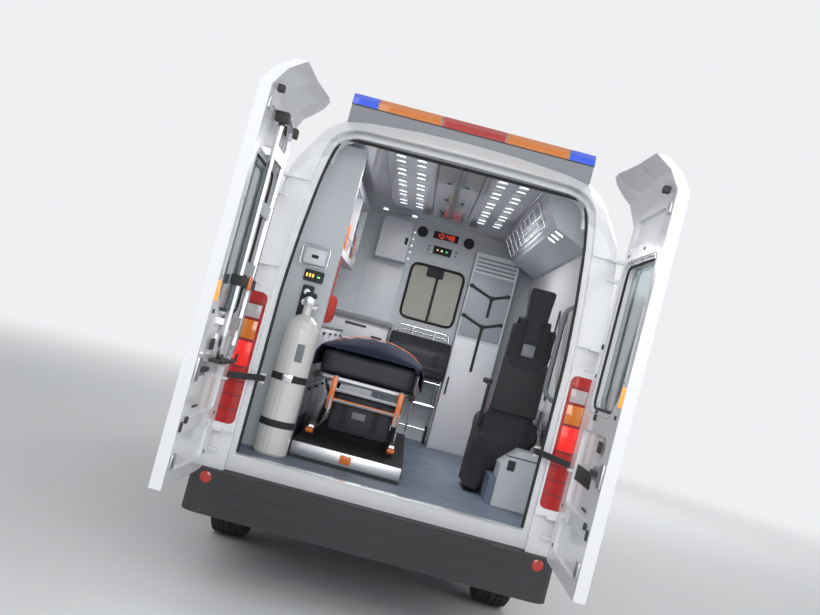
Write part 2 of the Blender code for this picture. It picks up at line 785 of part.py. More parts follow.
def build_cab_doors(shell):
    """Cab doors with their hinge barrels, their glass and the mirrors that they carry."""
    for side, word in ((1, "right"), (-1, "left")):
        low, high = side_range(side, 0.5, 1.3)
        door = copy_of(shell, "cab_door_" + word)
        keep(door, prism(CAB_DOOR, "X", low, high))
        carve(door, prism(CAB_WINDOW, "X", low, high))
        for height in CAB_HINGE_HEIGHTS:
            ends = (height - CAB_HINGE_HALF, height + CAB_HINGE_HALF)
            leaf_x = side_range(side, HALF_WIDTH - 0.016, HINGE_X)
            leaf = block(leaf_x, (CAB_HINGE_Y - 0.045, CAB_HINGE_Y), ends)
            barrel = disc((side * HINGE_X, CAB_HINGE_Y), CAB_BARREL, "Z", *ends, steps=10)
            fuse(door, fuse(leaf, barrel))
        rename(door, "cab_door_" + word, "white_paint")
        glass = pane("cab_glass_" + word, CAB_WINDOW, "X", low, high)
        mirror = build_mirror(side, "mirror_" + word)
        hinge = Vector((side * HINGE_X, CAB_HINGE_Y, 1.0))
        hang([door, glass, mirror], hinge, 0.0, "cab_hinge_" + word)


def build_mirror(side, name):
    """Door mirror: an arm off the door's corner and a tall head with its glass face to the rear."""
    inner, outer = HALF_WIDTH + 0.0235, HALF_WIDTH + MIRROR_REACH
    outline = mirrored([(inner, 1.26), (outer, 1.28), (outer, 1.66), (inner + 0.02, 1.68)], side)
    head = prism(rounded(outline, 0.04, 3), "Y", at(1.26), at(1.15), name, "black_plastic")
    foot = block(side_range(side, HALF_WIDTH - 0.0965, inner + 0.04), (at(1.245), at(1.175)), (1.31, 1.42))
    foot.data.materials.clear()
    carve(foot, envelope(-SEAT, 0.9, 1.6))
    fuse(head, foot)
    return rename(head, name, "black_plastic")


def hang(pieces, hinge, angle, name):
    """Parent pieces, modelled shut, to an empty on their hinge and swing it open."""
    pivot = bpy.data.objects.new(name, None)
    bpy.context.collection.objects.link(pivot)
    pivot.location = hinge
    pivot.rotation_euler = (0.0, 0.0, angle)
    for piece in pieces:
        piece.data.transform(Matrix.Translation(-hinge))
        piece.parent = pivot
    return pivot


def set_origin(piece, place):
    """Move an object's origin, and not its shape."""
    place = Vector(place)
    piece.data.transform(Matrix.Translation(-place))
    piece.location = place


# Rear doors, lamps and frame
HINGE_LUG = 0.014
HINGE_NOTCH = 0.006
REAR_KNUCKLE = 0.014
REAR_HINGE_HALF = 0.045
REAR_HINGES = tuple(door_level(share) for share in (0.072, 0.536, 0.784))
WINDOW_X = (0.10, 0.66)
WINDOW_LOW, WINDOW_HIGH = door_level(0.418), door_level(0.778)
WINDOW_CHAMFER = 0.11
DOOR_PANEL_DEPTH = 0.014
# Pressed panels of a rear door. Columns: x limits, share of the door's height at foot and top
DOOR_PANELS = (
    ((0.12, 0.66), 0.830, 0.900),
    ((0.12, 0.69), 0.165, 0.360),
    ((0.12, 0.69), 0.040, 0.130),
)
TREAD_HALF = 0.62
SILL_PLATE_HALF = 0.70


def rear_shell(behind):
    """The body's rear end moved forwards, to cut along the doors' inner faces."""
    return moved(envelope(0.0, first=BODY_LENGTH - 1.0), behind)


def build_rear_frame():
    """Rear corner pillars, header and sill round the opening, with lamp pockets and hinge lugs."""
    frame = envelope(0.0, first=BODY_LENGTH - REAR_FRAME_DEPTH + SEAT, name="rear_frame")
    rear, front = tail(-0.1), tail(REAR_FRAME_DEPTH + 0.1)
    carve(frame, block((-1.2, 1.2), (rear, front), (0.0, BUMPER_HIGH + SEAT)))
    hollow = envelope(WALL, BODY_LENGTH - 0.5, BODY_LENGTH - SILL_DEPTH, low=-0.2)
    carve(frame, keep(hollow, block((-1.2, 1.2), (rear, tail(0.6)), (-0.3, GUTTER_HEIGHT))))
    carve(frame, prism(rear_outline(), "Y", rear, front))
    pocket = tail(REAR_DOOR_THICKNESS + SHUT)
    for side in (1, -1):
        rebate = prism(door_outline(side, 0.0, meeting=-0.01), "Y", rear, front)
        carve(frame, carve(rebate, rear_shell(REAR_DOOR_THICKNESS + SHUT)))
        lamp = grow(mirrored(TAIL_LAMP, side), SEAT)
        carve(frame, prism(lamp, "Y", rear, tail(TAIL_LAMP_DEPTH)))
    lip = APERTURE_HALF + DOOR_REBATE
    carve(frame, block((-lip, lip), (rear, pocket), (0.3, REAR_DOOR_BOTTOM + 0.02)))
    for side in (1, -1):
        for height in REAR_HINGES:
            reach = REAR_HINGE_HALF + HINGE_NOTCH
            notch = block(side_range(side, APERTURE_HALF - 0.08, 1.2), (rear, tail(0.018)),
                          (height - reach, height + reach))
            carve(frame, notch)
            for end in (-1, 1):
                near = height + end * (REAR_HINGE_HALF + SEAT)
                lug_x = side_range(side, 0.87, REAR_HINGE_X + REAR_KNUCKLE)
                lug_y = (tail(-REAR_HINGE_OUT - REAR_KNUCKLE), tail(0.060))
                fuse(frame, block(lug_x, lug_y, sorted((near, near + end * HINGE_LUG))))
    plate = block((-SILL_PLATE_HALF, SILL_PLATE_HALF), (tail(0.075), tail(SILL_DEPTH - 0.005)),
                  (LOAD_FLOOR - 0.01, LOAD_FLOOR + 0.003))
    fuse(frame, plate)
    return rename(frame, "rear_frame", "white_paint")


def build_tail_lamps():
    """Tall lamps let into the rear corner pillars and wrapped round their corners."""
    for side, name in ((1, "tail_lamp_right"), (-1, "tail_lamp_left")):
        lamp = envelope(0.0, first=BODY_LENGTH - 0.5, name=name)
        keep(lamp, prism(mirrored(TAIL_LAMP, side), "Y", tail(0.004), tail(TAIL_LAMP_DEPTH - SEAT)))
        rename(lamp, name, "lamp_red")


def build_rear_door(side, word):
    """One rear door, modelled shut: its top follows the roof's fall, its inner panel is pressed."""
    door = prism(door_outline(side, SHUT), "Y", tail(-0.05), tail(0.40), "door")
    keep(door, envelope(0.0, first=BODY_LENGTH - 0.8))
    carve(door, rear_shell(REAR_DOOR_THICKNESS))
    inner, outer = WINDOW_X
    corners = [
        (inner + WINDOW_CHAMFER, WINDOW_LOW), (outer, WINDOW_LOW), (outer, WINDOW_HIGH),
        (inner, WINDOW_HIGH), (inner, WINDOW_LOW + WINDOW_CHAMFER),
    ]
    window = mirrored(rounded(corners, 0.05, 3), side)
    face = tail(REAR_DOOR_THICKNESS)
    reveal = grow(window, 0.022)
    carve(door, prism(reveal, "Y", face - 0.012, face + 0.1))
    carve(door, prism(window, "Y", tail(-0.1), tail(0.2)))
    for x, foot, top in DOOR_PANELS:
        panel = rounded(mirrored(rectangle(x, (door_level(foot), door_level(top))), side), 0.04, 2)
        carve(door, prism(panel, "Y", face - DOOR_PANEL_DEPTH, face + 0.1))
    for height in REAR_HINGES:
        ends = (height - REAR_HINGE_HALF, height + REAR_HINGE_HALF)
        root = aperture_half(height) - 0.06
        arm = block(side_range(side, root, REAR_HINGE_X), (tail(-0.012), tail(0.008)), ends)
        knuckle = disc((side * REAR_HINGE_X, tail(-REAR_HINGE_OUT)), REAR_KNUCKLE, "Z", *ends, steps=12)
        fuse(door, fuse(arm, knuckle))
    stay = REAR_HINGE_X + CHECK_TIP[1] + REAR_HINGE_OUT
    high = CHECK_ARM_HEIGHT - CHECK_ARM_DEPTH - SEAT
    stay_x = side_range(side, stay - 0.02, stay + 0.02)
    fuse(door, block(stay_x, (face - 0.01, face + 0.022), (high - 0.012, high)))
    rename(door, "rear_door_" + word, "white_paint")
    glass = prism(grow(window, -SEAT), "Y", tail(0.010), tail(0.015), "rear_glass_" + word, "glass")
    return [door, glass]


SCOOP_X = (-0.60, -0.28)
SCOOP_TUBE = 0.016
SCOOP_STAND = 0.030


def build_scoop_stretcher():
    """Folded scoop stretcher: two long tubes with looped ends and cross blades, on the left door."""
    face = tail(REAR_DOOR_THICKNESS)
    y = face + SCOOP_STAND
    left, right = SCOOP_X
    low, high = door_level(0.292), door_level(0.907)
    corners = rounded(rectangle((left, right), (low, high)), 0.13, 4)
    item = tube([(x, y, z) for x, z in corners], SCOOP_TUBE, steps=6, closed=True)
    for share in (0.16, 0.38, 0.62, 0.84):
        height = low + (high - low) * share
        fuse(item, block((left, right), (y - 0.008, y + 0.008), (height - 0.03, height + 0.03)))
    for height in (WINDOW_LOW - 0.055, WINDOW_HIGH + 0.045):
        for x in SCOOP_X:
            fuse(item, block((x - 0.010, x + 0.010), (face + SEAT, y), (height - 0.015, height + 0.015)))
    return rename(item, "scoop_stretcher", "aluminium")


def build_rear():
    """Rear frame, doors, lamps, bumper and light bar."""
    build_rear_frame()
    build_tail_lamps()
    for side, word in ((1, "right"), (-1, "left")):
        pieces = build_rear_door(side, word)
        if side < 0:
            pieces.append(build_scoop_stretcher())
        hinge = Vector((side * REAR_HINGE_X, tail(-REAR_HINGE_OUT), 1.0))
        hang(pieces, hinge, side * REAR_DOOR_OPEN, "rear_hinge_" + word)
        build_check_arm(side, "check_arm_" + word)
    build_rear_bumper()
    build_rear_light_bar()


def build_rear_bumper():
    """Rear bumper: a hollow moulding that wraps the corners, with a raised tread to step on."""
    wide = HALF_WIDTH - 0.0115
    plan = [(-wide + 0.01, tail(-0.07)), (wide - 0.01, tail(-0.07)),
            (wide, tail(REAR_FRAME_DEPTH - SEAT)), (-wide, tail(REAR_FRAME_DEPTH - SEAT))]
    step = prism(rounded(plan, [0.09, 0.09, 0, 0], 4), "Z", BUMPER_LOW, BUMPER_HIGH, "rear_step")
    inside = wide - 0.055
    carve(step, block((-inside, inside), (tail(-0.02), tail(0.5)), (0.0, BUMPER_HIGH - 0.02)))
    carve(step, block((-inside, inside), (tail(0.10), tail(0.5)), (0.0, 1.0)))
    tread_z = (BUMPER_HIGH - 0.01, BUMPER_HIGH + 0.004)
    fuse(step, block((-TREAD_HALF, TREAD_HALF), (tail(-0.06), tail(-0.012)), tread_z))
    return rename(step, "rear_step", "black_plastic")


REAR_BAR_HALF = 0.70
REAR_BAR_FRONT = 0.47
REAR_BAR_REAR = 0.31
REAR_BAR_ABOVE = 0.035


def build_rear_light_bar():
    """Light bar across the roof's falling rear end."""
    low, high = ROOF_HEIGHT - 0.25, ROOF_HEIGHT + REAR_BAR_ABOVE
    front, rear = tail(REAR_BAR_FRONT), tail(REAR_BAR_REAR)
    outline = [(front, low), (rear, low), (rear, high - 0.03), (rear + 0.03, high), (front - 0.03, high),
               (front, high - 0.03)]
    light_bar = prism(outline, "X", -REAR_BAR_HALF, REAR_BAR_HALF, "rear_light_bar", "lamp_blue")
    carve(light_bar, envelope(-SEAT, BODY_LENGTH - 0.9, BODY_LENGTH))
    return rename(light_bar, "rear_light_bar", "lamp_blue")


CHECK_PIVOT = (0.752, 0.095)
CHECK_TIP = (0.872, -0.250)
CHECK_ARM_HALF = 0.008
CHECK_ARM_DEPTH = 0.016


def build_check_arm(side, name):
    """Arm that holds a rear door open; it swings in on the pillar as the door closes."""
    pivot = Vector((side * CHECK_PIVOT[0], tail(CHECK_PIVOT[1]), CHECK_ARM_HEIGHT))
    tip = Vector((side * CHECK_TIP[0], tail(CHECK_TIP[1]), CHECK_ARM_HEIGHT))
    along = (tip - pivot).normalized()
    across = Vector((-along.y, along.x, 0.0)) * CHECK_ARM_HALF
    corners = [pivot + across, pivot - across, tip - across, tip + across]
    low, high = CHECK_ARM_HEIGHT - CHECK_ARM_DEPTH, CHECK_ARM_HEIGHT + CHECK_ARM_DEPTH
    arm = prism([(c.x, c.y) for c in corners], "Z", low, high, name, "black_plastic")
    fuse(arm, disc((pivot.x, pivot.y), 0.013, "Z", low, high, 12))
    rename(arm, name, "black_plastic")
    set_origin(arm, pivot)
    for end in (-1, 1):
        near = CHECK_ARM_HEIGHT + end * (CHECK_ARM_DEPTH + SEAT)
        ear = block(side_range(side, CHECK_PIVOT[0] - 0.014, APERTURE_HALF + 0.01),
                    (pivot.y - 0.012, pivot.y + 0.012), sorted((near, near + end * 0.010)))
        fuse(bpy.data.objects["rear_frame"], ear)


# Wheels and running gear
# Tyre outline as (outboard, radius), over the tread from bead to bead
TYRE_PROFILE = (
    (-0.100, RIM_RADIUS + SEAT), (-0.1175, 0.262), (-0.112, 0.330), (-0.088, TYRE_RADIUS),
    (0.088, TYRE_RADIUS), (0.112, 0.330), (0.1175, 0.262), (0.100, RIM_RADIUS + SEAT),
)
HUB_BORE = 0.035
# Rim outline as (outboard, radius), round from the inboard bead over the barrel to the disc
RIM_PROFILE = (
    (-0.098, RIM_RADIUS), (-0.098, RIM_RADIUS - 0.012), (0.035, RIM_RADIUS - 0.020), (0.060, 0.150),
    (0.030, 0.085), (0.030, HUB_BORE), (0.048, HUB_BORE), (0.076, 0.130),
    (0.060, RIM_RADIUS - 0.012), (0.098, RIM_RADIUS),
)
WHEEL_STEPS = 24
KINGPIN_X = 0.795
KNUCKLE_HALF_HEIGHT = 0.11


def build_wheels():
    """Four tyres on their rims."""
    for place, row in ((FRONT_AXLE, "front"), (REAR_AXLE, "rear")):
        for side, word in ((1, "right"), (-1, "left")):
            centre = (side * TRACK / 2, at(place), TYRE_RADIUS)
            tyre = [(side * x, radius) for x, radius in TYRE_PROFILE]
            rim = [(side * x, radius) for x, radius in RIM_PROFILE]
            revolve(tyre, WHEEL_STEPS, centre, f"tyre_{row}_{word}", "rubber")
            set_origin(bpy.data.objects[f"tyre_{row}_{word}"], centre)
            revolve(rim, WHEEL_STEPS, centre, f"rim_{row}_{word}", "steel")
            set_origin(bpy.data.objects[f"rim_{row}_{word}"], centre)


def build_front_axle():
    """Front cross-member with its arms and struts, and the steering knuckles on them."""
    y = at(FRONT_AXLE)
    beam = block((-0.52, 0.52), (y - 0.10, y + 0.10), (0.22, 0.30), "front_subframe", "dark_steel")
    for side in (1, -1):
        arm = block(side_range(side, 0.45, KINGPIN_X), (y - 0.03, y + 0.03),
                    (TYRE_RADIUS - KNUCKLE_HALF_HEIGHT - 0.030, TYRE_RADIUS - KNUCKLE_HALF_HEIGHT - SEAT))
        pad = disc((side * KINGPIN_X, y), 0.035, "Z", TYRE_RADIUS - KNUCKLE_HALF_HEIGHT - 0.030,
                   TYRE_RADIUS - KNUCKLE_HALF_HEIGHT - SEAT, 16)
        fuse(beam, arm, pad)
        low = TYRE_RADIUS + KNUCKLE_HALF_HEIGHT + SEAT
        upper = block(side_range(side, 0.585, KINGPIN_X), (y - 0.03, y + 0.03), (low, low + 0.03))
        pad = disc((side * KINGPIN_X, y), 0.035, "Z", low, low + 0.03, 16)
        strut_top = TYRE_RADIUS + math.sqrt(ARCH_RADIUS ** 2 - 0.035 ** 2) * math.cos(math.pi / 32) - 0.001
        strut = disc((side * 0.60, y), 0.033, "Z", 0.23, strut_top, 16)
        fuse(strut, upper, pad)
        fuse(beam, strut)
        rail = block(side_range(side, 0.38, 0.45), (y - 0.09, y + 0.09), (0.28, 0.42 - SEAT))
        fuse(beam, rail)
    rename(beam, "front_subframe", "dark_steel")
    for side, word in ((1, "right"), (-1, "left")):
        knuckle = disc((side * KINGPIN_X, y), 0.030, "Z", TYRE_RADIUS - KNUCKLE_HALF_HEIGHT,
                       TYRE_RADIUS + KNUCKLE_HALF_HEIGHT, 16, "knuckle_" + word, "dark_steel")
        spindle = disc((y, TYRE_RADIUS), HUB_BORE - PIN_CLEARANCE, "X",
                       *side_range(side, KINGPIN_X, TRACK / 2 + 0.055), 24)
        track_arm = block(side_range(side, KINGPIN_X - 0.05, KINGPIN_X - 0.02), (y - 0.13, y + 0.01),
                          (TYRE_RADIUS - 0.06, TYRE_RADIUS - 0.035))
        fuse(knuckle, spindle, track_arm)
        rename(knuckle, "knuckle_" + word, "dark_steel")
        set_origin(knuckle, (side * KINGPIN_X, y, TYRE_RADIUS))


def build_rear_axle():
    """Rear beam axle with its final drive, leaf springs and stub ends."""
    y = at(REAR_AXLE)
    axle = disc((y, TYRE_RADIUS), 0.045, "X", -0.74, 0.74, 16, "rear_axle", "dark_steel")
    housing = disc((y, TYRE_RADIUS), 0.13, "X", -0.12, 0.12, 16)
    fuse(axle, housing)
    stub = disc((y, TYRE_RADIUS), HUB_BORE - PIN_CLEARANCE, "X", -TRACK / 2 - 0.055, TRACK / 2 + 0.055, 24)
    fuse(axle, stub)
    spring = side_outline(
        [(REAR_AXLE - 0.75, 0.42 - SEAT), (REAR_AXLE - 0.70, 0.42 - SEAT), (REAR_AXLE, 0.335),
         (REAR_AXLE + 0.70, 0.42 - SEAT), (REAR_AXLE + 0.75, 0.42 - SEAT), (REAR_AXLE + 0.75, 0.39),
         (REAR_AXLE, 0.295), (REAR_AXLE - 0.75, 0.39)]
    )
    for side in (1, -1):
        fuse(axle, prism(spring, "X", *side_range(side, 0.44, 0.50)))
    return rename(axle, "rear_axle", "dark_steel")


# Rear wheel housings. Half their length, x of the inner face, top
HOUSE_HALF = 0.50
HOUSE_INNER = 0.62
HOUSE_TOP = 0.84


def wheel_house(side, margin=0.0):
    """The block that covers a rear wheel inside the load space."""
    return block(side_range(side, HOUSE_INNER - margin, 1.2),
                 (at(REAR_AXLE + HOUSE_HALF) - margin, at(REAR_AXLE - HOUSE_HALF) + margin),
                 (LOAD_FLOOR - 0.06, HOUSE_TOP + margin))


RAIL_X = (0.38, 0.45)
RAIL_LOW = 0.42
CROSS_MEMBERS = (0.34, 1.75, 2.60, 3.50, 5.35)


def build_floor():
    """Floor, chassis rails, cross-members, jacking pads and rear wheel housings as one welded base."""
    rear = BODY_LENGTH - SILL_DEPTH
    front = at(BULKHEAD_FRONT)
    floor = block((-1.2, 1.2), (at(rear), front), (LOAD_FLOOR - 0.06, LOAD_FLOOR), "floor_chassis")
    fuse(floor, block((-1.2, 1.2), (front - 0.05, front), (CAB_FLOOR - 0.06, LOAD_FLOOR)))
    for side in (1, -1):
        fuse(floor, wheel_house(side))
    keep(floor, envelope(WALL + SEAT, 1.0, rear - SEAT, low=-0.2))
    cab = block((-1.2, 1.2), (front - 0.03, at(1.60)), (CAB_FLOOR - 0.06, CAB_FLOOR))
    fuse(floor, keep(cab, envelope(WALL + SHUT, 1.0, rear - SEAT, low=-0.2)))
    bay = BAY_HALF - SEAT
    fuse(floor, block((-bay, bay), (at(1.61), at(FIREWALL + 0.06)), (CAB_FLOOR - 0.06, CAB_FLOOR)))
    for side in (1, -1):
        carve(floor, arch_tool(REAR_AXLE, side, 0.66))
        rail_x = side_range(side, *RAIL_X)
        fuse(floor, block(rail_x, (at(rear - 0.02), at(0.30)), (RAIL_LOW, 0.56)))
        fuse(floor, block(rail_x, (at(rear - 0.02), front - 0.02), (0.50, 0.63)))
        pad = block(side_range(side, RAIL_X[0] + 0.01, RAIL_X[1] - 0.01),
                    (at(JACKING_PLACE) - 0.03, at(JACKING_PLACE) + 0.03), (RAIL_LOW - 0.02, RAIL_LOW + 0.01))
        fuse(floor, pad)
    for place in CROSS_MEMBERS:
        fuse(floor, block((-0.40, 0.40), (at(place + 0.04), at(place - 0.04)), (0.44, 0.52)))
    return rename(floor, "floor_chassis", "floor_vinyl")


# Inside fittings
FLOOR_TOP = LOAD_FLOOR + SEAT
BULKHEAD_FACE = BULKHEAD_FRONT + BULKHEAD_THICKNESS
CEILING_TRIM = 0.020
# What stands on the bulkhead's rear face. Columns: x limits, height limits, depth
BULKHEAD_FITTINGS = (
    ((0.31, 0.69), (FLOOR_TOP, rise(0.768)), 0.31),
    ((-0.54, -0.27), (rise(0.604), CEILING_LOW - 0.06), 0.20),
    ((-1.2, -0.25), (FLOOR_TOP, 1.590), 0.36),
    ((-1.2, -0.235), (1.575, 1.610), 0.40),
    ((-0.10, 0.14), (rise(0.795), rise(0.850)), 0.05),
    ((-0.13, 0.17), (rise(0.705), rise(0.765)), 0.035),
)
SPEAKERS = ((-0.19, rise(0.822)), (0.23, rise(0.822)))
HATCH = rounded(rectangle((-0.20, 0.265), (rise(0.304), rise(0.631))), 0.07, 3)
# Ceiling lamps: x of the rows, first place from the tail, step in a pair, pitch of the pairs
LAMP_ROWS = (-0.38, -0.25, 0.25, 0.38)
LAMP_FIRST = 0.68
LAMP_STEP = 0.165
LAMP_PITCH = 0.435
LAMP_PAIRS = 5
LAMP_RADIUS = 0.034


def inside():
    """The space within the body's walls, to trim what is fitted in it."""
    return envelope(WALL + SEAT, FIREWALL, BODY_LENGTH - REAR_FRAME_DEPTH, low=-0.2)


def build_bulkhead():
    """Bulkhead with its window, cabinets, worktop, speakers and panels."""
    front = at(BULKHEAD_FRONT)
    face = at(BULKHEAD_FACE)
    bulkhead = block((-1.2, 1.2), (face, front), (FLOOR_TOP, 3.0), "bulkhead")
    for x, z, depth in BULKHEAD_FITTINGS:
        fuse(bulkhead, block(x, (face - depth, face + 0.01), z))
    for x, z in SPEAKERS:
        fuse(bulkhead, disc((x, z), 0.048, "Y", face - 0.022, face + 0.01, 16))
    keep(bulkhead, inside())
    carve(bulkhead, prism(HATCH, "Y", face - 0.1, front + 0.1))
    rename(bulkhead, "bulkhead", "trim_grey")
    middle = (front + face) / 2
    prism(grow(HATCH, -SEAT), "Y", middle - 0.004, middle + 0.004, "bulkhead_glass", "glass")


def build_ceiling():
    """Ceiling with two lamp panels and four rows of half-moon lamps in pairs."""
    ceiling = block((-1.2, 1.2), (tail(0.36), at(BULKHEAD_FACE + 0.12)),
                    (CEILING_LOW, CEILING_LOW + CEILING_THICKNESS), "ceiling_panel")
    keep(ceiling, inside())
    for side in (1, -1):
        plan = rectangle(side_range(side, 0.15, 0.475), (tail(0.59), tail(2.90)))
        fuse(ceiling, prism(rounded(plan, 0.04, 2), "Z", CEILING_LOW - 0.012, CEILING_LOW + 0.01))
    moons = bmesh.new()
    for x in LAMP_ROWS:
        for pair in range(LAMP_PAIRS):
            for step in (0.0, LAMP_STEP):
                y = tail(LAMP_FIRST + pair * LAMP_PITCH + step)
                half = [
                    (x + LAMP_RADIUS * math.cos(math.pi * i / 4), y - LAMP_RADIUS * math.sin(math.pi * i / 4))
                    for i in range(5)
                ]
                add_prism(moons, half, "Z", CEILING_LOW - CEILING_TRIM, CEILING_LOW - 0.008)
    fuse(ceiling, to_object("tool", moons))
    return rename(ceiling, "ceiling_panel", "trim_grey")


CABINET_FRONT = 3.05
CABINET_REAR = 0.52
# Open niches in the upper shelf. Columns: limits from the tail
SHELF_NICHES = ((0.72, 1.38), (1.46, 2.12), (2.20, 2.86))


def build_cupboards():
    """Left wall cabinet, right overhead locker and the white box at the right of the opening."""
    top = CEILING_LOW - 0.07
    cabinet = block((-1.2, -0.565), (tail(CABINET_REAR), tail(0.60)), (FLOOR_TOP, top), "wall_cabinet")
    fuse(cabinet, block((-1.2, -0.62), (tail(0.59), tail(CABINET_FRONT)), (FLOOR_TOP, 1.45)))
    fuse(cabinet, block((-1.2, -0.66), (tail(0.59), tail(CABINET_FRONT)), (rise(0.468), top)))
    for near, far in SHELF_NICHES:
        carve(cabinet, block((-0.76, -0.5), (tail(near), tail(far)), (rise(0.50), top - 0.06)))
    keep(cabinet, inside())
    carve(cabinet, wheel_house(-1, SEAT))
    rename(cabinet, "wall_cabinet", "trim_grey")

    shelf = CEILING_LOW - 0.29
    profile = [(0.50, CEILING_LOW - SEAT), (0.62, CEILING_LOW - 0.21), (0.80, shelf), (1.2, shelf),
               (1.2, CEILING_LOW - SEAT)]
    locker = prism(profile, "Y", tail(0.62), tail(3.00), "overhead_locker")
    keep(locker, inside())
    rename(locker, "overhead_locker", "trim_grey")

    profile = [(0.66, FLOOR_TOP), (1.2, FLOOR_TOP), (1.2, 1.03), (0.76, 1.03), (0.66, 0.93)]
    box = prism(profile, "Y", tail(0.70), tail(0.95), "side_box")
    keep(box, inside())
    carve(box, wheel_house(1, SEAT))
    rename(box, "side_box", "trim_grey")


CYLINDER_PLACE = (-0.65, 0.40)
CYLINDER_RADIUS = 0.0975
# Gas cylinder with its valve. Columns: radius, height above the floor
CYLINDER_PROFILE = (
    (CYLINDER_RADIUS - 0.008, 0.0), (CYLINDER_RADIUS, 0.012), (CYLINDER_RADIUS, 0.720), (0.080, 0.765),
    (0.045, 0.795), (0.026, 0.805), (0.026, 0.860), (0.034, 0.862), (0.034, 0.900), (0.016, 0.905),
    (0.016, 0.920),
)


def build_interior():
    """Everything inside the load space and the cab."""
    build_bulkhead()
    build_ceiling()
    build_cupboards()
    build_attendant_seat()
    for x, name in ((-0.46, "driver_seat"), (0.46, "passenger_seat")):
        build_seat(name, x, 1.72, CAB_FLOOR + SEAT, 0.50, 0.98)
    build_stretcher()
    centre = (CYLINDER_PLACE[0], tail(CYLINDER_PLACE[1]))
    profile = [(radius, FLOOR_TOP + height) for radius, height in CYLINDER_PROFILE]
    lathe(profile, centre, 20, "oxygen_cylinder", "cylinder_white")
    build_cab_fittings()


def build_cab_fittings():
    """Dashboard with the steering column, steering wheel, engine and front light bar."""
    outline = side_outline(
        [(0.90, 0.80), (1.20, 0.80), (1.38, 0.92), (1.42, 1.06), (1.30, 1.22), (1.10, 1.26), (0.90, 1.24)]
    )
    dash = prism(outline, "X", -0.915, 0.915, "dashboard", "black_plastic")
    keep(dash, envelope(WALL + SHUT, FIREWALL + SEAT, 1.6, low=0.84 + SEAT))
    column = Vector((0.0, math.cos(STEERING_RAKE), -math.sin(STEERING_RAKE)))
    top = Vector((STEERING_CENTRE[0], at(STEERING_CENTRE[1]), STEERING_CENTRE[2]))
    fuse(dash, bar(top + column * (0.03 + SEAT), top + column * 0.22, 0.03, 12))
    rename(dash, "dashboard", "black_plastic")
    build_steering_wheel()

    engine = block((-0.28, 0.28), (at(0.86), at(0.28)), (0.53, 0.90), "engine_block", "dark_steel")
    for side in (1, -1):
        fuse(engine, block(side_range(side, 0.26, 0.44), (at(0.62), at(0.54)), (0.56 + SEAT, 0.64)))
    rename(engine, "engine_block", "dark_steel")

    plan = rounded(rectangle((-0.62, 0.62), (at(2.30), at(1.98))), 0.10, 3)
    light = prism(plan, "Z", rise(0.60), roof_top(2.30) + 0.075, "front_light_bar", "lamp_blue")
    carve(light, envelope(-SEAT, 1.5, 2.8))


def build_attendant_seat():
    """Forward-facing seat beside the stretcher, its base stepped over the wheel housing."""
    rear, front = tail(1.02), tail(1.46)
    base = block((0.50, 0.615), (rear, front), (FLOOR_TOP, 1.05), "attendant_seat")
    fuse(base, block((0.51, 0.86), (rear, front), (HOUSE_TOP + SEAT, 1.05)))
    fuse(base, block((0.50, 0.90), (rear + 0.02, front + 0.05), (1.04, 1.18)))
    back = [(rear + 0.14, 1.15), (rear + 0.02, 1.15), (rear - 0.05, 1.80), (rear + 0.05, 1.80)]
    head = [(rear + 0.04, 1.78), (rear - 0.04, 1.78), (rear - 0.055, 2.05), (rear + 0.03, 2.05)]
    fuse(base, prism(back, "X", 0.52, 0.86), prism(head, "X", 0.60, 0.78))
    return rename(base, "attendant_seat", "seat_fabric")


def build_seat(name, x, place, floor, width, height):
    """A seat on a plinth with a cushion, a tall back and a headrest."""
    y = at(place)
    half = width / 2
    top = floor + height
    plinth = block((x - half + 0.04, x + half - 0.04), (y - 0.20, y + 0.18), (floor, floor + 0.32), name)
    cushion = block((x - half, x + half), (y - 0.26, y + 0.24), (floor + 0.30, floor + 0.44))
    low, crown = floor + 0.40, top + 0.20
    back = [(y - 0.14, low), (y - 0.28, low), (y - 0.36, top), (y - 0.27, top)]
    head = [(y - 0.27, top - 0.02), (y - 0.35, top - 0.02), (y - 0.365, crown), (y - 0.28, crown)]
    fuse(plinth, cushion, prism(back, "X", x - half, x + half), prism(head, "X", x - 0.13, x + 0.13))
    return rename(plinth, name, "seat_fabric")


PLATFORM_TOP = LOAD_FLOOR + 0.10
STRETCHER_X = (-0.53, 0.05)
STRETCHER_RAIL = 1.17
STRETCHER_TUBE = 0.018
STRETCHER_ENDS = (0.62, 2.55)
CASTOR_RADIUS = 0.05


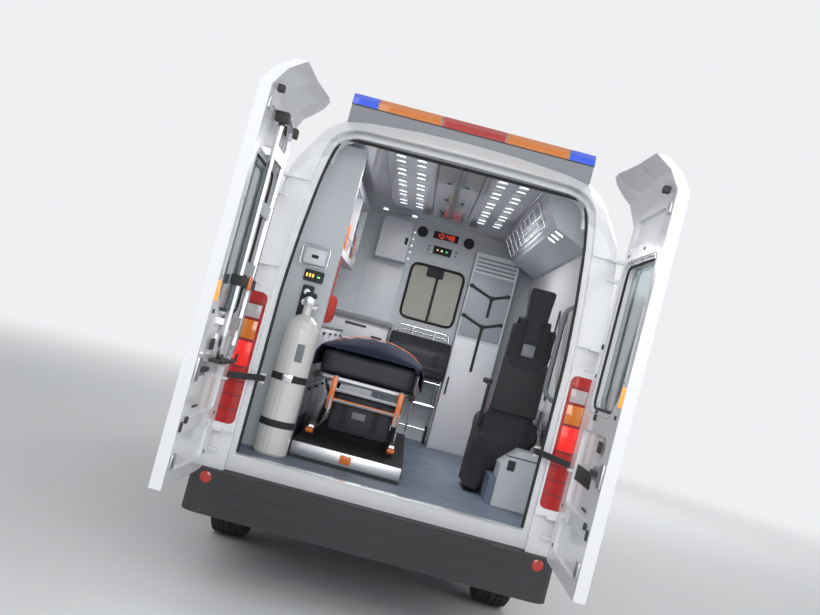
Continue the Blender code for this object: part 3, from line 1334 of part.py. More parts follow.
def build_stretcher():
    """Stretcher on its platform: tube frame, crossed legs, runners with castors, foot frame, mattress."""
    plan = (-0.555, 0.10), (tail(0.50), tail(2.62))
    block(*plan, (FLOOR_TOP, PLATFORM_TOP), "stretcher_platform", "aluminium")
    left, right = STRETCHER_X
    rear, front = (tail(end) for end in STRETCHER_ENDS)
    outline = rounded(rectangle((left, right), (rear, front)), 0.10, 3)
    path = [(x, y, STRETCHER_RAIL) for x, y in outline]
    frame = tube(path, STRETCHER_TUBE, 6, closed=True, name="stretcher_frame")
    deck = max(vertex.co.z for vertex in frame.data.vertices)
    for y in (rear + 0.30, (rear + front) / 2, front - 0.30):
        fuse(frame, tube([(left, y, STRETCHER_RAIL), (right, y, STRETCHER_RAIL)], 0.014, 6))
    runner = PLATFORM_TOP + SEAT + CASTOR_RADIUS
    for x in (left + 0.04, right - 0.04):
        fuse(frame, tube([(x, rear + 0.14, runner), (x, front - 0.14, runner)], 0.016, 6))
        legs = (rear + 0.22, front - 0.22)
        for low_end, high_end in (legs, legs[::-1]):
            fuse(frame, tube([(x, low_end, runner), (x, high_end, STRETCHER_RAIL)], 0.012, 6, phase=0.4))
        for y in legs:
            fuse(frame, disc((y, runner), CASTOR_RADIUS, "X", x - 0.0145, x + 0.0145, 12))
    for x in (-0.41, -0.01):
        fuse(frame, tube([(x, rear, STRETCHER_RAIL + 0.02), (x, rear - 0.02, 0.985)], 0.013, 6))
    for height in (1.05, 1.11):
        y = rear - 0.02 * (STRETCHER_RAIL - height) / 0.185
        fuse(frame, tube([(-0.43, y, height), (0.01, y, height)], 0.010, 6, phase=0.1))
    rename(frame, "stretcher_frame", "aluminium")
    plan = rounded(rectangle((left - 0.012, right + 0.012), (rear + 0.02, front - 0.02)), 0.08, 3)
    return prism(plan, "Z", deck + SEAT, 1.33, "stretcher_mattress", "mattress")


STEERING_CENTRE = (-0.46, 1.50, 1.22)
STEERING_RAKE = math.radians(50)


def build_steering_wheel():
    """Steering wheel on its column, square to a raked axis."""
    x, place, z = STEERING_CENTRE
    centre = Vector((x, at(place), z))
    ring = [(0.011 * math.cos(math.tau * i / 6), 0.19 + 0.013 * math.sin(math.tau * i / 6)) for i in range(6)]
    wheel = revolve(ring, 22, (0, 0, 0), "steering_wheel", "black_plastic")
    hub = disc((0.0, 0.0), 0.045, "X", -0.03, 0.012, 12)
    for i in range(3):
        angle = math.tau * i / 3 + math.pi / 2
        spoke = bar((0, 0, 0), (0.0, 0.19 * math.cos(angle), 0.19 * math.sin(angle)), 0.009, 6)
        fuse(hub, spoke)
    fuse(wheel, hub)
    rename(wheel, "steering_wheel", "black_plastic")
    rake = Matrix.Rotation(-math.pi / 2, 4, "Z") @ Matrix.Rotation(-STEERING_RAKE, 4, "Y")
    wheel.data.transform(rake)
    wheel.location = centre


def main():
    """Build every piece."""
    clear_scene()
    shell = build_shell()
    build_roof(shell)
    build_side(shell, 1, "side_right")
    build_side(shell, -1, "side_left")
    build_sliding_door(shell)
    build_cab_doors(shell)
    build_front_body()
    build_nose()
    build_rear()
    build_wheels()
    build_front_axle()
    build_rear_axle()
    build_floor()
    build_interior()
    bpy.data.objects.remove(shell, do_unlink=True)


main()
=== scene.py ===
"""Looks for a high-roof panel-van ambulance whose rear doors stand open."""
import json
import logging
import math
from dataclasses import dataclass, field
from enum import Enum
from typing import Callable, Sequence

import bmesh
import bpy
from mathutils import Matrix, Vector, noise


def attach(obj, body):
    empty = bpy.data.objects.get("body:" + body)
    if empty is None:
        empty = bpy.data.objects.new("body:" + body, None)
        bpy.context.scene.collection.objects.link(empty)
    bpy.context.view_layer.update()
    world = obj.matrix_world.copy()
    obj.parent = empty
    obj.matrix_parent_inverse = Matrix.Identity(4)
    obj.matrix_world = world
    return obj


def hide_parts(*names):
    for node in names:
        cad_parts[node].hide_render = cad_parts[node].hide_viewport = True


LOG = logging.getLogger("ambulance")
Colour = tuple[float, float, float]

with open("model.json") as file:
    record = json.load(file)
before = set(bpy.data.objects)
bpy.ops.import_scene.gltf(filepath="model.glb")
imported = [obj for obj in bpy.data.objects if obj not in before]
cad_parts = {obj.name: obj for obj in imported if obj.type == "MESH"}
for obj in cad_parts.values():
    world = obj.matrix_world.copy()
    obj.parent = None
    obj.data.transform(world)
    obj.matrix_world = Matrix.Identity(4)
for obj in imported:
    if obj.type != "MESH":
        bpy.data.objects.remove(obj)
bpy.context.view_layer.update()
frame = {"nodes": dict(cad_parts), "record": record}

# How deep the grain of a finish is taken to be, in metres
BUMP_HEIGHT = 0.002


class Slot(Enum):
    """Material slots of the record."""

    PAINT = "paint"
    BLACK_PLASTIC = "black_plastic"
    CLEAR_LAMP = "clear_lamp"
    RED_LAMP = "red_lamp"
    BLUE_LAMP = "blue_lamp"
    GLASS = "glass"
    TRIM = "trim"
    FLOOR = "floor"
    SEAT = "seat"
    MATTRESS = "mattress"
    ALUMINIUM = "aluminium"
    CYLINDER = "cylinder"
    STEEL = "steel"
    DARK_STEEL = "dark_steel"
    TYRE = "tyre"


# Shared effects
def join(tree: bpy.types.NodeTree, value: object, socket: bpy.types.NodeSocket) -> None:
    """Link an output to a socket, or set the socket's own value.

    Args:
        tree: the node tree.
        value: an output socket or a plain value.
        socket: the input socket.
    """
    if isinstance(value, bpy.types.NodeSocket):
        tree.links.new(value, socket)
    else:
        socket.default_value = value


def add_node(
    tree: bpy.types.NodeTree, kind: str, inputs: dict[str | int, object] | None = None, **settings: object
) -> bpy.types.Node:
    """Add one shader node.

    Args:
        tree: the node tree.
        kind: the node's type without its "ShaderNode".
        inputs: by socket, an output to link or a plain value.
        settings: the node's own settings, made first.

    Returns:
        The node.
    """
    node = tree.nodes.new(f"ShaderNode{kind}")
    for name, value in settings.items():
        setattr(node, name, value)
    for key, value in (inputs or {}).items():
        join(tree, value, node.inputs[key])
    return node


def maths(tree: bpy.types.NodeTree, kind: str, *values: object) -> bpy.types.NodeSocket:
    """Return the result of one sum.

    Args:
        tree: the node tree.
        kind: the sum's operation.
        values: what it works on, in order.

    Returns:
        The output socket.
    """
    return add_node(tree, "Math", dict(enumerate(values)), operation=kind).outputs["Value"]


def new_group(
    name: str, colours: dict[str, Colour], floats: dict[str, float], results: Sequence[str]
) -> tuple[bpy.types.NodeTree, bpy.types.NodeOutputs, bpy.types.NodeInputs]:
    """Make an empty node group with its sockets.

    Args:
        name: its name.
        colours: its colour inputs and their defaults.
        floats: its number inputs and their defaults.
        results: its outputs, of which "Color" is a colour and the others are numbers.

    Returns:
        The group, what comes in and where results go.
    """
    tree = bpy.data.node_groups.new(name, "ShaderNodeTree")
    for label, value in colours.items():
        socket = tree.interface.new_socket(name=label, in_out="INPUT", socket_type="NodeSocketColor")
        socket.default_value = (*value, 1.0)
    for label, value in floats.items():
        socket = tree.interface.new_socket(name=label, in_out="INPUT", socket_type="NodeSocketFloat")
        socket.default_value = value
    for label in results:
        kind = "NodeSocketColor" if label == "Color" else "NodeSocketFloat"
        tree.interface.new_socket(name=label, in_out="OUTPUT", socket_type=kind)
    inside, outside = tree.nodes.new("NodeGroupInput"), tree.nodes.new("NodeGroupOutput")
    return tree, inside.outputs, outside.inputs


def mixed(tree: bpy.types.NodeTree, share: object, base: object, other: object) -> bpy.types.NodeSocket:
    """Return a mix of two colours.

    Args:
        tree: the node tree.
        share: the other colour's share.
        base: the first colour.
        other: the other colour.

    Returns:
        The output socket.
    """
    inputs = {"Factor": share, "A": base, "B": other}
    return add_node(tree, "Mix", inputs, data_type="RGBA").outputs["Result"]


def speckle_group() -> bpy.types.NodeTree:
    """Two-scale colour and roughness variation with a fine grain height.

    Returns:
        The node group, made once.
    """
    name = "surface_variation"
    if name in bpy.data.node_groups:
        return bpy.data.node_groups[name]
    tree, given, result = new_group(
        name,
        {"Base": (0.8, 0.8, 0.8), "Soiled": (0.5, 0.5, 0.5)},
        {"Amount": 0.2, "Roughness": 0.4, "Roughness Spread": 0.1, "Cloud Scale": 2.0, "Grain Scale": 300.0},
        ("Color", "Roughness", "Height"),
    )
    place = add_node(tree, "TexCoord").outputs["Object"]
    cloud = add_node(tree, "TexNoise",
                     {"Vector": place, "Scale": given["Cloud Scale"], "Detail": 6.0}).outputs["Fac"]
    grain = add_node(tree, "TexNoise",
                     {"Vector": place, "Scale": given["Grain Scale"], "Detail": 2.0}).outputs["Fac"]
    shift = add_node(tree, "MapRange", {"Value": cloud, "From Min": 0.42, "From Max": 0.72}).outputs["Result"]
    amount = maths(tree, "MULTIPLY", shift, given["Amount"])
    join(tree, mixed(tree, amount, given["Base"], given["Soiled"]), result["Color"])
    spread = maths(tree, "MULTIPLY_ADD", cloud, given["Roughness Spread"], given["Roughness"])
    join(tree, spread, result["Roughness"])
    join(tree, grain, result["Height"])
    return tree


def band_group() -> bpy.types.NodeTree:
    """A band between two heights on what stands out far enough to the side.

    Returns:
        The node group, made once.
    """
    name = "side_band"
    if name in bpy.data.node_groups:
        return bpy.data.node_groups[name]
    tree, given, result = new_group(
        name,
        {"Base": (0.8, 0.8, 0.8), "Band": (0.8, 0.1, 0.0)},
        {"Low": 0.9, "High": 1.1, "Origin X": 0.0, "Reach": 0.9},
        ("Color",),
    )
    place = add_node(tree, "TexCoord").outputs["Object"]
    split = add_node(tree, "SeparateXYZ", {"Vector": place}).outputs
    above = maths(tree, "GREATER_THAN", split["Z"], given["Low"])
    below = maths(tree, "LESS_THAN", split["Z"], given["High"])
    reach = maths(tree, "ABSOLUTE", maths(tree, "ADD", split["X"], given["Origin X"]))
    far = maths(tree, "GREATER_THAN", reach, given["Reach"])
    mask = maths(tree, "MULTIPLY", maths(tree, "MULTIPLY", above, below), far)
    join(tree, mixed(tree, mask, given["Base"], given["Band"]), result["Color"])
    return tree


def surface(
    name: str, values: dict[str, object], links: dict[str, str], plain: dict[str, object], bump: float = 0.0
) -> bpy.types.Material:
    """Return a material on the shared variation, made once.

    Args:
        name: its name.
        values: the variation group's inputs.
        links: the shader's sockets and the group's output for each.
        plain: the shader's other inputs.
        bump: how strongly the grain shows as bump.

    Returns:
        The material.
    """
    if name in bpy.data.materials:
        return bpy.data.materials[name]
    made = bpy.data.materials.new(name)
    made.use_nodes = True
    tree = made.node_tree
    group = add_node(tree, "Group", values, node_tree=speckle_group())
    shader = tree.nodes["Principled BSDF"].inputs
    for socket, output in links.items():
        join(tree, group.outputs[output], shader[socket])
    for socket, value in plain.items():
        join(tree, value, shader[socket])
    if "Roughness" in links:
        height = {"Strength": bump, "Distance": BUMP_HEIGHT, "Height": group.outputs["Height"]}
        join(tree, add_node(tree, "Bump", height).outputs["Normal"], shader["Normal"])
    return made


@dataclass(frozen=True)
class Finish:
    """One procedural finish: base and soiled colour, gloss, cloud and grain."""

    name: str
    base: Colour
    soiled: Colour
    amount: float = 0.2
    roughness: float = 0.4
    spread: float = 0.1
    metallic: float = 0.0
    cloud: float = 2.0
    grain: float = 300.0
    bump: float = 0.02
    coat: float = 0.0
    transmission: float = 0.0

    def material(self) -> bpy.types.Material:
        """Return the finish as a material, made once."""
        values = {
            "Base": (*self.base, 1.0), "Soiled": (*self.soiled, 1.0), "Amount": self.amount,
            "Roughness": self.roughness, "Roughness Spread": self.spread, "Cloud Scale": self.cloud,
            "Grain Scale": self.grain,
        }
        plain = {"Metallic": self.metallic, "Coat Weight": self.coat, "Transmission Weight": self.transmission}
        return surface(self.name, values, {"Base Color": "Color", "Roughness": "Roughness"}, plain, self.bump)


@dataclass(frozen=True)
class Glow:
    """A lit surface: its colour, how strong it is and how much its cells vary."""

    name: str
    colour: Colour
    strength: float = 1.0
    cells: float = 120.0
    dimmed: float = 0.7
    gloss: float = 0.25

    def material(self) -> bpy.types.Material:
        """Return the lit material, made once."""
        dim = tuple(self.dimmed * value for value in self.colour)
        values = {"Base": (*self.colour, 1.0), "Soiled": (*dim, 1.0), "Amount": 0.4, "Cloud Scale": self.cells}
        plain = {"Emission Strength": self.strength, "Roughness": self.gloss}
        return surface(self.name, values, {"Base Color": "Color", "Emission Color": "Color"}, plain)


Look = Finish | Glow

FINISHES: dict[Slot, Finish] = {
    Slot.PAINT: Finish("white_paint", (0.74, 0.75, 0.77), (0.62, 0.62, 0.62), 0.10, 0.24, 0.06, coat=0.5,
                       bump=0.008, cloud=0.8),
    Slot.BLACK_PLASTIC: Finish("black_plastic", (0.025, 0.025, 0.028), (0.06, 0.06, 0.06), 0.4, 0.5, 0.2, bump=0.2,
                               grain=700.0),
    Slot.CLEAR_LAMP: Finish("clear_lens", (0.75, 0.78, 0.80), (0.6, 0.62, 0.64), 0.2, 0.06, 0.05, transmission=0.5),
    Slot.RED_LAMP: Finish("red_lens", (0.42, 0.012, 0.012), (0.28, 0.01, 0.01), 0.3, 0.12, 0.08, coat=0.8),
    Slot.BLUE_LAMP: Finish("blue_lens", (0.02, 0.09, 0.75), (0.02, 0.06, 0.5), 0.3, 0.12, 0.08, coat=0.8),
    Slot.GLASS: Finish("tinted_glass", (0.16, 0.20, 0.21), (0.14, 0.17, 0.18), 0.2, 0.03, 0.02, transmission=0.85),
    Slot.TRIM: Finish("moulded_trim", (0.60, 0.63, 0.66), (0.50, 0.53, 0.56), 0.3, 0.38, 0.15, bump=0.06),
    Slot.FLOOR: Finish("floor_vinyl", (0.16, 0.20, 0.27), (0.10, 0.12, 0.15), 0.5, 0.42, 0.2, bump=0.1, cloud=4.0),
    Slot.SEAT: Finish("seat_cloth", (0.035, 0.035, 0.042), (0.06, 0.06, 0.065), 0.4, 0.8, 0.1, bump=0.5,
                      grain=900.0),
    Slot.MATTRESS: Finish("mattress_cover", (0.022, 0.024, 0.032), (0.05, 0.05, 0.055), 0.4, 0.5, 0.15, bump=0.3),
    Slot.ALUMINIUM: Finish("bright_aluminium", (0.72, 0.73, 0.75), (0.55, 0.56, 0.58), 0.4, 0.25, 0.15, 1.0),
    Slot.CYLINDER: Finish("cylinder_enamel", (0.78, 0.78, 0.75), (0.6, 0.59, 0.55), 0.35, 0.3, 0.1, coat=0.3),
    Slot.STEEL: Finish("silver_lacquer", (0.55, 0.56, 0.58), (0.3, 0.29, 0.27), 0.4, 0.32, 0.2, 0.9),
    Slot.DARK_STEEL: Finish("chassis_black", (0.03, 0.03, 0.032), (0.12, 0.10, 0.085), 0.5, 0.55, 0.2, 0.2,
                            bump=0.2),
    Slot.TYRE: Finish("tyre_rubber", (0.022, 0.022, 0.023), (0.075, 0.07, 0.065), 0.45, 0.75, 0.15, bump=0.25),
}


# Short names of the slots' finishes that added pieces wear too
PAINT = FINISHES[Slot.PAINT]
DARK = FINISHES[Slot.BLACK_PLASTIC]
CLEAR_LENS = FINISHES[Slot.CLEAR_LAMP]
RED_LENS = FINISHES[Slot.RED_LAMP]
BLUE_LENS = FINISHES[Slot.BLUE_LAMP]
ALUMINIUM = FINISHES[Slot.ALUMINIUM]
STEEL = FINISHES[Slot.STEEL]
CHASSIS_BLACK = FINISHES[Slot.DARK_STEEL]
TYRE_RUBBER = FINISHES[Slot.TYRE]


def wear(item: bpy.types.Object, finish: Look) -> bpy.types.Object:
    """Give an object one finish in place of what it has.

    Args:
        item: the object.
        finish: its finish.

    Returns:
        The same object.
    """
    item.data.materials.clear()
    item.data.materials.append(finish.material())
    return item


# Shapes
Point = tuple[float, float, float]
Turned = tuple[Sequence[float], Sequence[float], Sequence[tuple[float, float]], int]


def circle(count: int, shift: float = 0.0) -> list[float]:
    """Return the angles of evenly spaced points on a circle."""
    return [2 * math.pi * (step + shift) / count for step in range(count)]


def add_box(bm: bmesh.types.BMesh, low: Sequence[float], high: Sequence[float], bevel: float = 0.002) -> None:
    """Add one box with rounded edges.

    Args:
        bm: the mesh to add to.
        low: its lower corner.
        high: its upper corner.
        bevel: the radius of its edges.
    """
    low, high = Vector(low), Vector(high)
    size, middle = high - low, (high + low) / 2
    shape = Matrix.LocRotScale(middle, None, size)
    made = bmesh.ops.create_cube(bm, size=1.0, matrix=shape)["verts"]
    edges = list({edge for vert in made for edge in vert.link_edges})
    offset = min(bevel, 0.45 * min(abs(value) for value in size))
    bmesh.ops.bevel(bm, geom=edges, offset=offset, segments=2, profile=0.5, affect="EDGES")


def add_prism(bm: bmesh.types.BMesh, outline: Sequence[Point], push: Sequence[float], bevel: float = 0.0) -> None:
    """Add a flat outline pushed along a vector.

    Args:
        bm: the mesh to add to.
        outline: the corners of the start face.
        push: the way and the length of the push.
        bevel: the radius of the end edges.
    """
    near = [bm.verts.new(corner) for corner in outline]
    far = [bm.verts.new(Vector(corner) + Vector(push)) for corner in outline]
    caps = [bm.faces.new(near), bm.faces.new(list(reversed(far)))]
    count = len(outline)
    sides = [bm.faces.new((near[i], far[i], far[(i + 1) % count], near[(i + 1) % count])) for i in range(count)]
    bmesh.ops.recalc_face_normals(bm, faces=caps + sides)
    if bevel > 0:
        edges = list({edge for face in caps for edge in face.edges})
        bmesh.ops.bevel(bm, geom=edges, offset=bevel, segments=2, profile=0.5, affect="EDGES")


def add_ring(
    bm: bmesh.types.BMesh, middle: Vector, radius: float, across: Vector, upward: Vector, count: int
) -> list[bmesh.types.BMVert]:
    """Add the points of a circle.

    Args:
        bm: the mesh to add to.
        middle: its middle.
        radius: its radius.
        across: the way to its first point.
        upward: the way to the point a quarter on.
        count: how many points it has.

    Returns:
        The points.
    """
    return [bm.verts.new(middle + radius * (math.cos(a) * across + math.sin(a) * upward)) for a in circle(count)]


def add_tube(
    bm: bmesh.types.BMesh, path: Sequence[Point], radius: float, closed: bool = False, sides: int = 10
) -> None:
    """Add a round tube along a path.

    Args:
        bm: the mesh to add to.
        path: the points of its middle line.
        radius: its radius.
        closed: whether the path is a loop.
        sides: facets round it.
    """
    points = [Vector(point) for point in path]
    count = len(points)
    rings = []
    across = None
    for index, point in enumerate(points):
        before = points[index - 1] if closed or index > 0 else point
        after = points[(index + 1) % count] if closed or index < count - 1 else point
        ahead = (after - before).normalized()
        if across is None:
            across = ahead.orthogonal().normalized()
        across = (across - ahead * across.dot(ahead)).normalized()
        upward = ahead.cross(across)
        rings.append(add_ring(bm, point, radius, across, upward, sides))
    pairs = list(zip(rings, rings[1:])) + ([(rings[-1], rings[0])] if closed else [])
    for near, far in pairs:
        shift = 0
        if closed and near is rings[-1]:
            shift = min(range(sides), key=lambda s: (near[0].co - far[s].co).length)
        for step in range(sides):
            a, b = (step + shift) % sides, (step + 1 + shift) % sides
            bm.faces.new((near[step], near[(step + 1) % sides], far[b], far[a]))
    if not closed:
        bm.faces.new(list(reversed(rings[0])))
        bm.faces.new(rings[-1])


def add_turned(
    bm: bmesh.types.BMesh, centre: Sequence[float], axis: Sequence[float], profile: Sequence[tuple[float, float]],
    steps: int = 24,
) -> None:
    """Add a turned form.

    Args:
        bm: the mesh to add to.
        centre: where its axis starts.
        axis: the way of its axis.
        profile: pairs of radius and place along the axis.
        steps: facets round it.
    """
    along = Vector(axis).normalized()
    across = along.orthogonal().normalized()
    upward = along.cross(across)
    rings = []
    for radius, place in profile:
        middle = Vector(centre) + place * along
        if radius < 1e-6:
            rings.append([bm.verts.new(middle)])
            continue
        rings.append(add_ring(bm, middle, radius, across, upward, steps))
    for near, far in zip(rings, rings[1:]):
        for step in range(steps):
            after = (step + 1) % steps
            ring = [near[step % len(near)], near[after % len(near)], far[after % len(far)], far[step % len(far)]]
            ring = [vert for index, vert in enumerate(ring) if vert not in ring[:index]]
            if len(ring) > 2:
                bm.faces.new(ring)
    for ring, turned_over in ((rings[0], True), (rings[-1], False)):
        if len(ring) > 2:
            bm.faces.new(list(reversed(ring)) if turned_over else ring)


def soften(path: Sequence[Point], radius: float, closed: bool = False, steps: int = 5) -> list[Point]:
    """Round the corners of a path.

    Args:
        path: its corners.
        radius: how far from each corner the curve starts.
        closed: whether it is a loop.
        steps: parts of each curve.

    Returns:
        The points of the rounded path.
    """
    corners = [Vector(point) for point in path]
    made = []
    for index, corner in enumerate(corners):
        if not closed and index in (0, len(corners) - 1):
            made.append(tuple(corner))
            continue
        before, after = corners[index - 1], corners[(index + 1) % len(corners)]
        reach_in = min(radius, 0.49 * (corner - before).length)
        reach_out = min(radius, 0.49 * (after - corner).length)
        start = corner + (before - corner).normalized() * reach_in
        finish = corner + (after - corner).normalized() * reach_out
        for step in range(steps + 1):
            share = step / steps
            made.append(tuple((1 - share) ** 2 * start + 2 * share * (1 - share) * corner + share ** 2 * finish))
    return made


def piece(
    name: str, bm: bmesh.types.BMesh, finish: Look, body: str = "body", crease: float = 40.0
) -> bpy.types.Object:
    """Turn a mesh into a dressed object that rides on a body.

    Args:
        name: the object's name.
        bm: its mesh, freed here.
        finish: its finish.
        body: the body it rides on.
        crease: the angle in degrees past which an edge is sharp.

    Returns:
        The object.
    """
    bmesh.ops.recalc_face_normals(bm, faces=bm.faces[:])
    mesh = bpy.data.meshes.new(name)
    bm.to_mesh(mesh)
    bm.free()
    mesh.shade_smooth()
    mesh.set_sharp_from_angle(angle=math.radians(crease))
    item = bpy.data.objects.new(name, mesh)
    bpy.context.scene.collection.objects.link(item)
    wear(item, finish)
    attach(item, body)
    return item


def boxes(
    name: str, table: Sequence[Sequence[float]], finish: Look, body: str = "body", bevel: float = 0.002
) -> bpy.types.Object:
    """Make one object of several boxes.

    Args:
        name: the object's name.
        table: rows of low x, high x, low y, high y, low z, high z.
        finish: its finish.
        body: the body it rides on.
        bevel: the radius of the boxes' edges.

    Returns:
        The object.
    """
    bm = bmesh.new()
    for x0, x1, y0, y1, z0, z1 in table:
        add_box(bm, (min(x0, x1), min(y0, y1), z0), (max(x0, x1), max(y0, y1), z1), bevel)
    return piece(name, bm, finish, body)


def tubes(
    name: str, paths: Sequence[Sequence[Point]], radius: float, finish: Look, body: str = "body",
    closed: bool = False,
) -> bpy.types.Object:
    """Make one object of several tubes.

    Args:
        name: the object's name.
        paths: their middle lines.
        radius: their radius.
        finish: its finish.
        body: the body it rides on.
        closed: whether the paths are loops.

    Returns:
        The object.
    """
    bm = bmesh.new()
    for path in paths:
        add_tube(bm, path, radius, closed)
    return piece(name, bm, finish, body, 60.0)


def turned(name: str, rows: Sequence[Turned], finish: Look, body: str = "body") -> bpy.types.Object:
    """Make one object of several turned forms.

    Args:
        name: the object's name.
        rows: centre, axis, profile and facets of each form.
        finish: its finish.
        body: the body it rides on.

    Returns:
        The object.
    """
    bm = bmesh.new()
    for centre, axis, profile, steps in rows:
        add_turned(bm, centre, axis, profile, steps)
    return piece(name, bm, finish, body)


# Places shared by the sub-assemblies, in metres
REAR_Y = -2.46675
AXLES = (("front", 2.44325), ("rear", -1.22175))
SIDES = ((-1, "left"), (1, "right"))
# The ends of rays that find the model's surface from outside
AHEAD_Y = 4.5
ABOVE_Z = 3.2
BESIDE_X = 2.0


def tail(distance: float) -> float:
    """Return y at a distance ahead of the rear face."""
    return REAR_Y + distance


# Finishes beside those of the frame's slots
RUBBER = Finish("seal_rubber", (0.014, 0.014, 0.015), (0.04, 0.04, 0.04), 0.4, 0.62, 0.15, bump=0.15, grain=600.0)
REVEAL = Finish("reveal_edge", (0.5, 0.52, 0.55), (0.4, 0.4, 0.4))
CHROME = Finish("polished_chrome", (0.80, 0.81, 0.83), (0.6, 0.6, 0.62), 0.2, 0.10, 0.08, 1.0)
GREY = Finish("grey_plastic", (0.22, 0.23, 0.25), (0.30, 0.30, 0.31), 0.3, 0.5, 0.15, bump=0.12, grain=500.0)
WHITE = Finish("white_laminate", (0.72, 0.74, 0.77), (0.62, 0.63, 0.65), 0.25, 0.30, 0.1, bump=0.03)
ORANGE = Finish("orange_enamel", (0.85, 0.19, 0.02), (0.55, 0.12, 0.02), 0.25, 0.3, 0.1, coat=0.4)
CARRY_CLOTH = Finish("coated_cloth", (0.020, 0.022, 0.030), (0.05, 0.05, 0.06), 0.4, 0.45, 0.2, bump=0.4,
                     grain=500.0)
BLANKET = Finish("woven_blanket", (0.018, 0.024, 0.055), (0.035, 0.042, 0.085), 0.5, 0.9, 0.08, bump=0.7,
                 grain=1100.0)
WEBBING = Finish("belt_webbing", (0.022, 0.022, 0.024), (0.05, 0.05, 0.05), 0.4, 0.7, 0.1, bump=0.6, grain=1500.0)
RED_CLOTH = Finish("red_webbing", (0.50, 0.03, 0.02), (0.35, 0.03, 0.02), 0.3, 0.7, 0.1, bump=0.5, grain=1200.0)
AMBER = Finish("amber_lens", (0.62, 0.17, 0.012), (0.45, 0.12, 0.01), 0.2, 0.12, 0.06, coat=0.8)
GREEN_KIT = Finish("green_case", (0.05, 0.30, 0.14), (0.04, 0.2, 0.1), 0.3, 0.45, 0.1, bump=0.2)
BLUE_KIT = Finish("blue_case", (0.03, 0.10, 0.32), (0.03, 0.07, 0.2), 0.3, 0.5, 0.1, bump=0.2)
CAB_PANE = Finish("bulkhead_pane", (0.24, 0.23, 0.17), (0.20, 0.19, 0.13), 0.4, 0.12, 0.05, transmission=0.45,
                  cloud=9.0)
# Painted shade: a darker grey-blue that puts the shade of a recess onto the tall cabinet's flush upper door
PAINTED_SHADE_GREY = Finish("cabinet_painted_shade", (0.36, 0.38, 0.42), (0.30, 0.31, 0.34), 0.25, 0.35, 0.1, bump=0.03)
CEILING = Finish("glossy_ceiling", (0.68, 0.70, 0.74), (0.60, 0.62, 0.66), 0.2, 0.10, 0.06, coat=0.7, bump=0.005)

WHITE_LIGHT = Glow("white_led", (0.92, 0.95, 1.0), 1.1)
RED_LIGHT = Glow("red_digits", (1.0, 0.05, 0.02), 1.2)
GREEN_LIGHT = Glow("green_led", (0.15, 0.95, 0.25), 1.0)
AMBER_LIGHT = Glow("amber_led", (1.0, 0.62, 0.12), 1.0)
RED_GLOW = Glow("lit_tail_lamp", (0.80, 0.02, 0.015), 0.30, 60.0)
ORANGE_GLOW = Glow("orange_marker", (1.0, 0.30, 0.03), 0.8, 60.0)


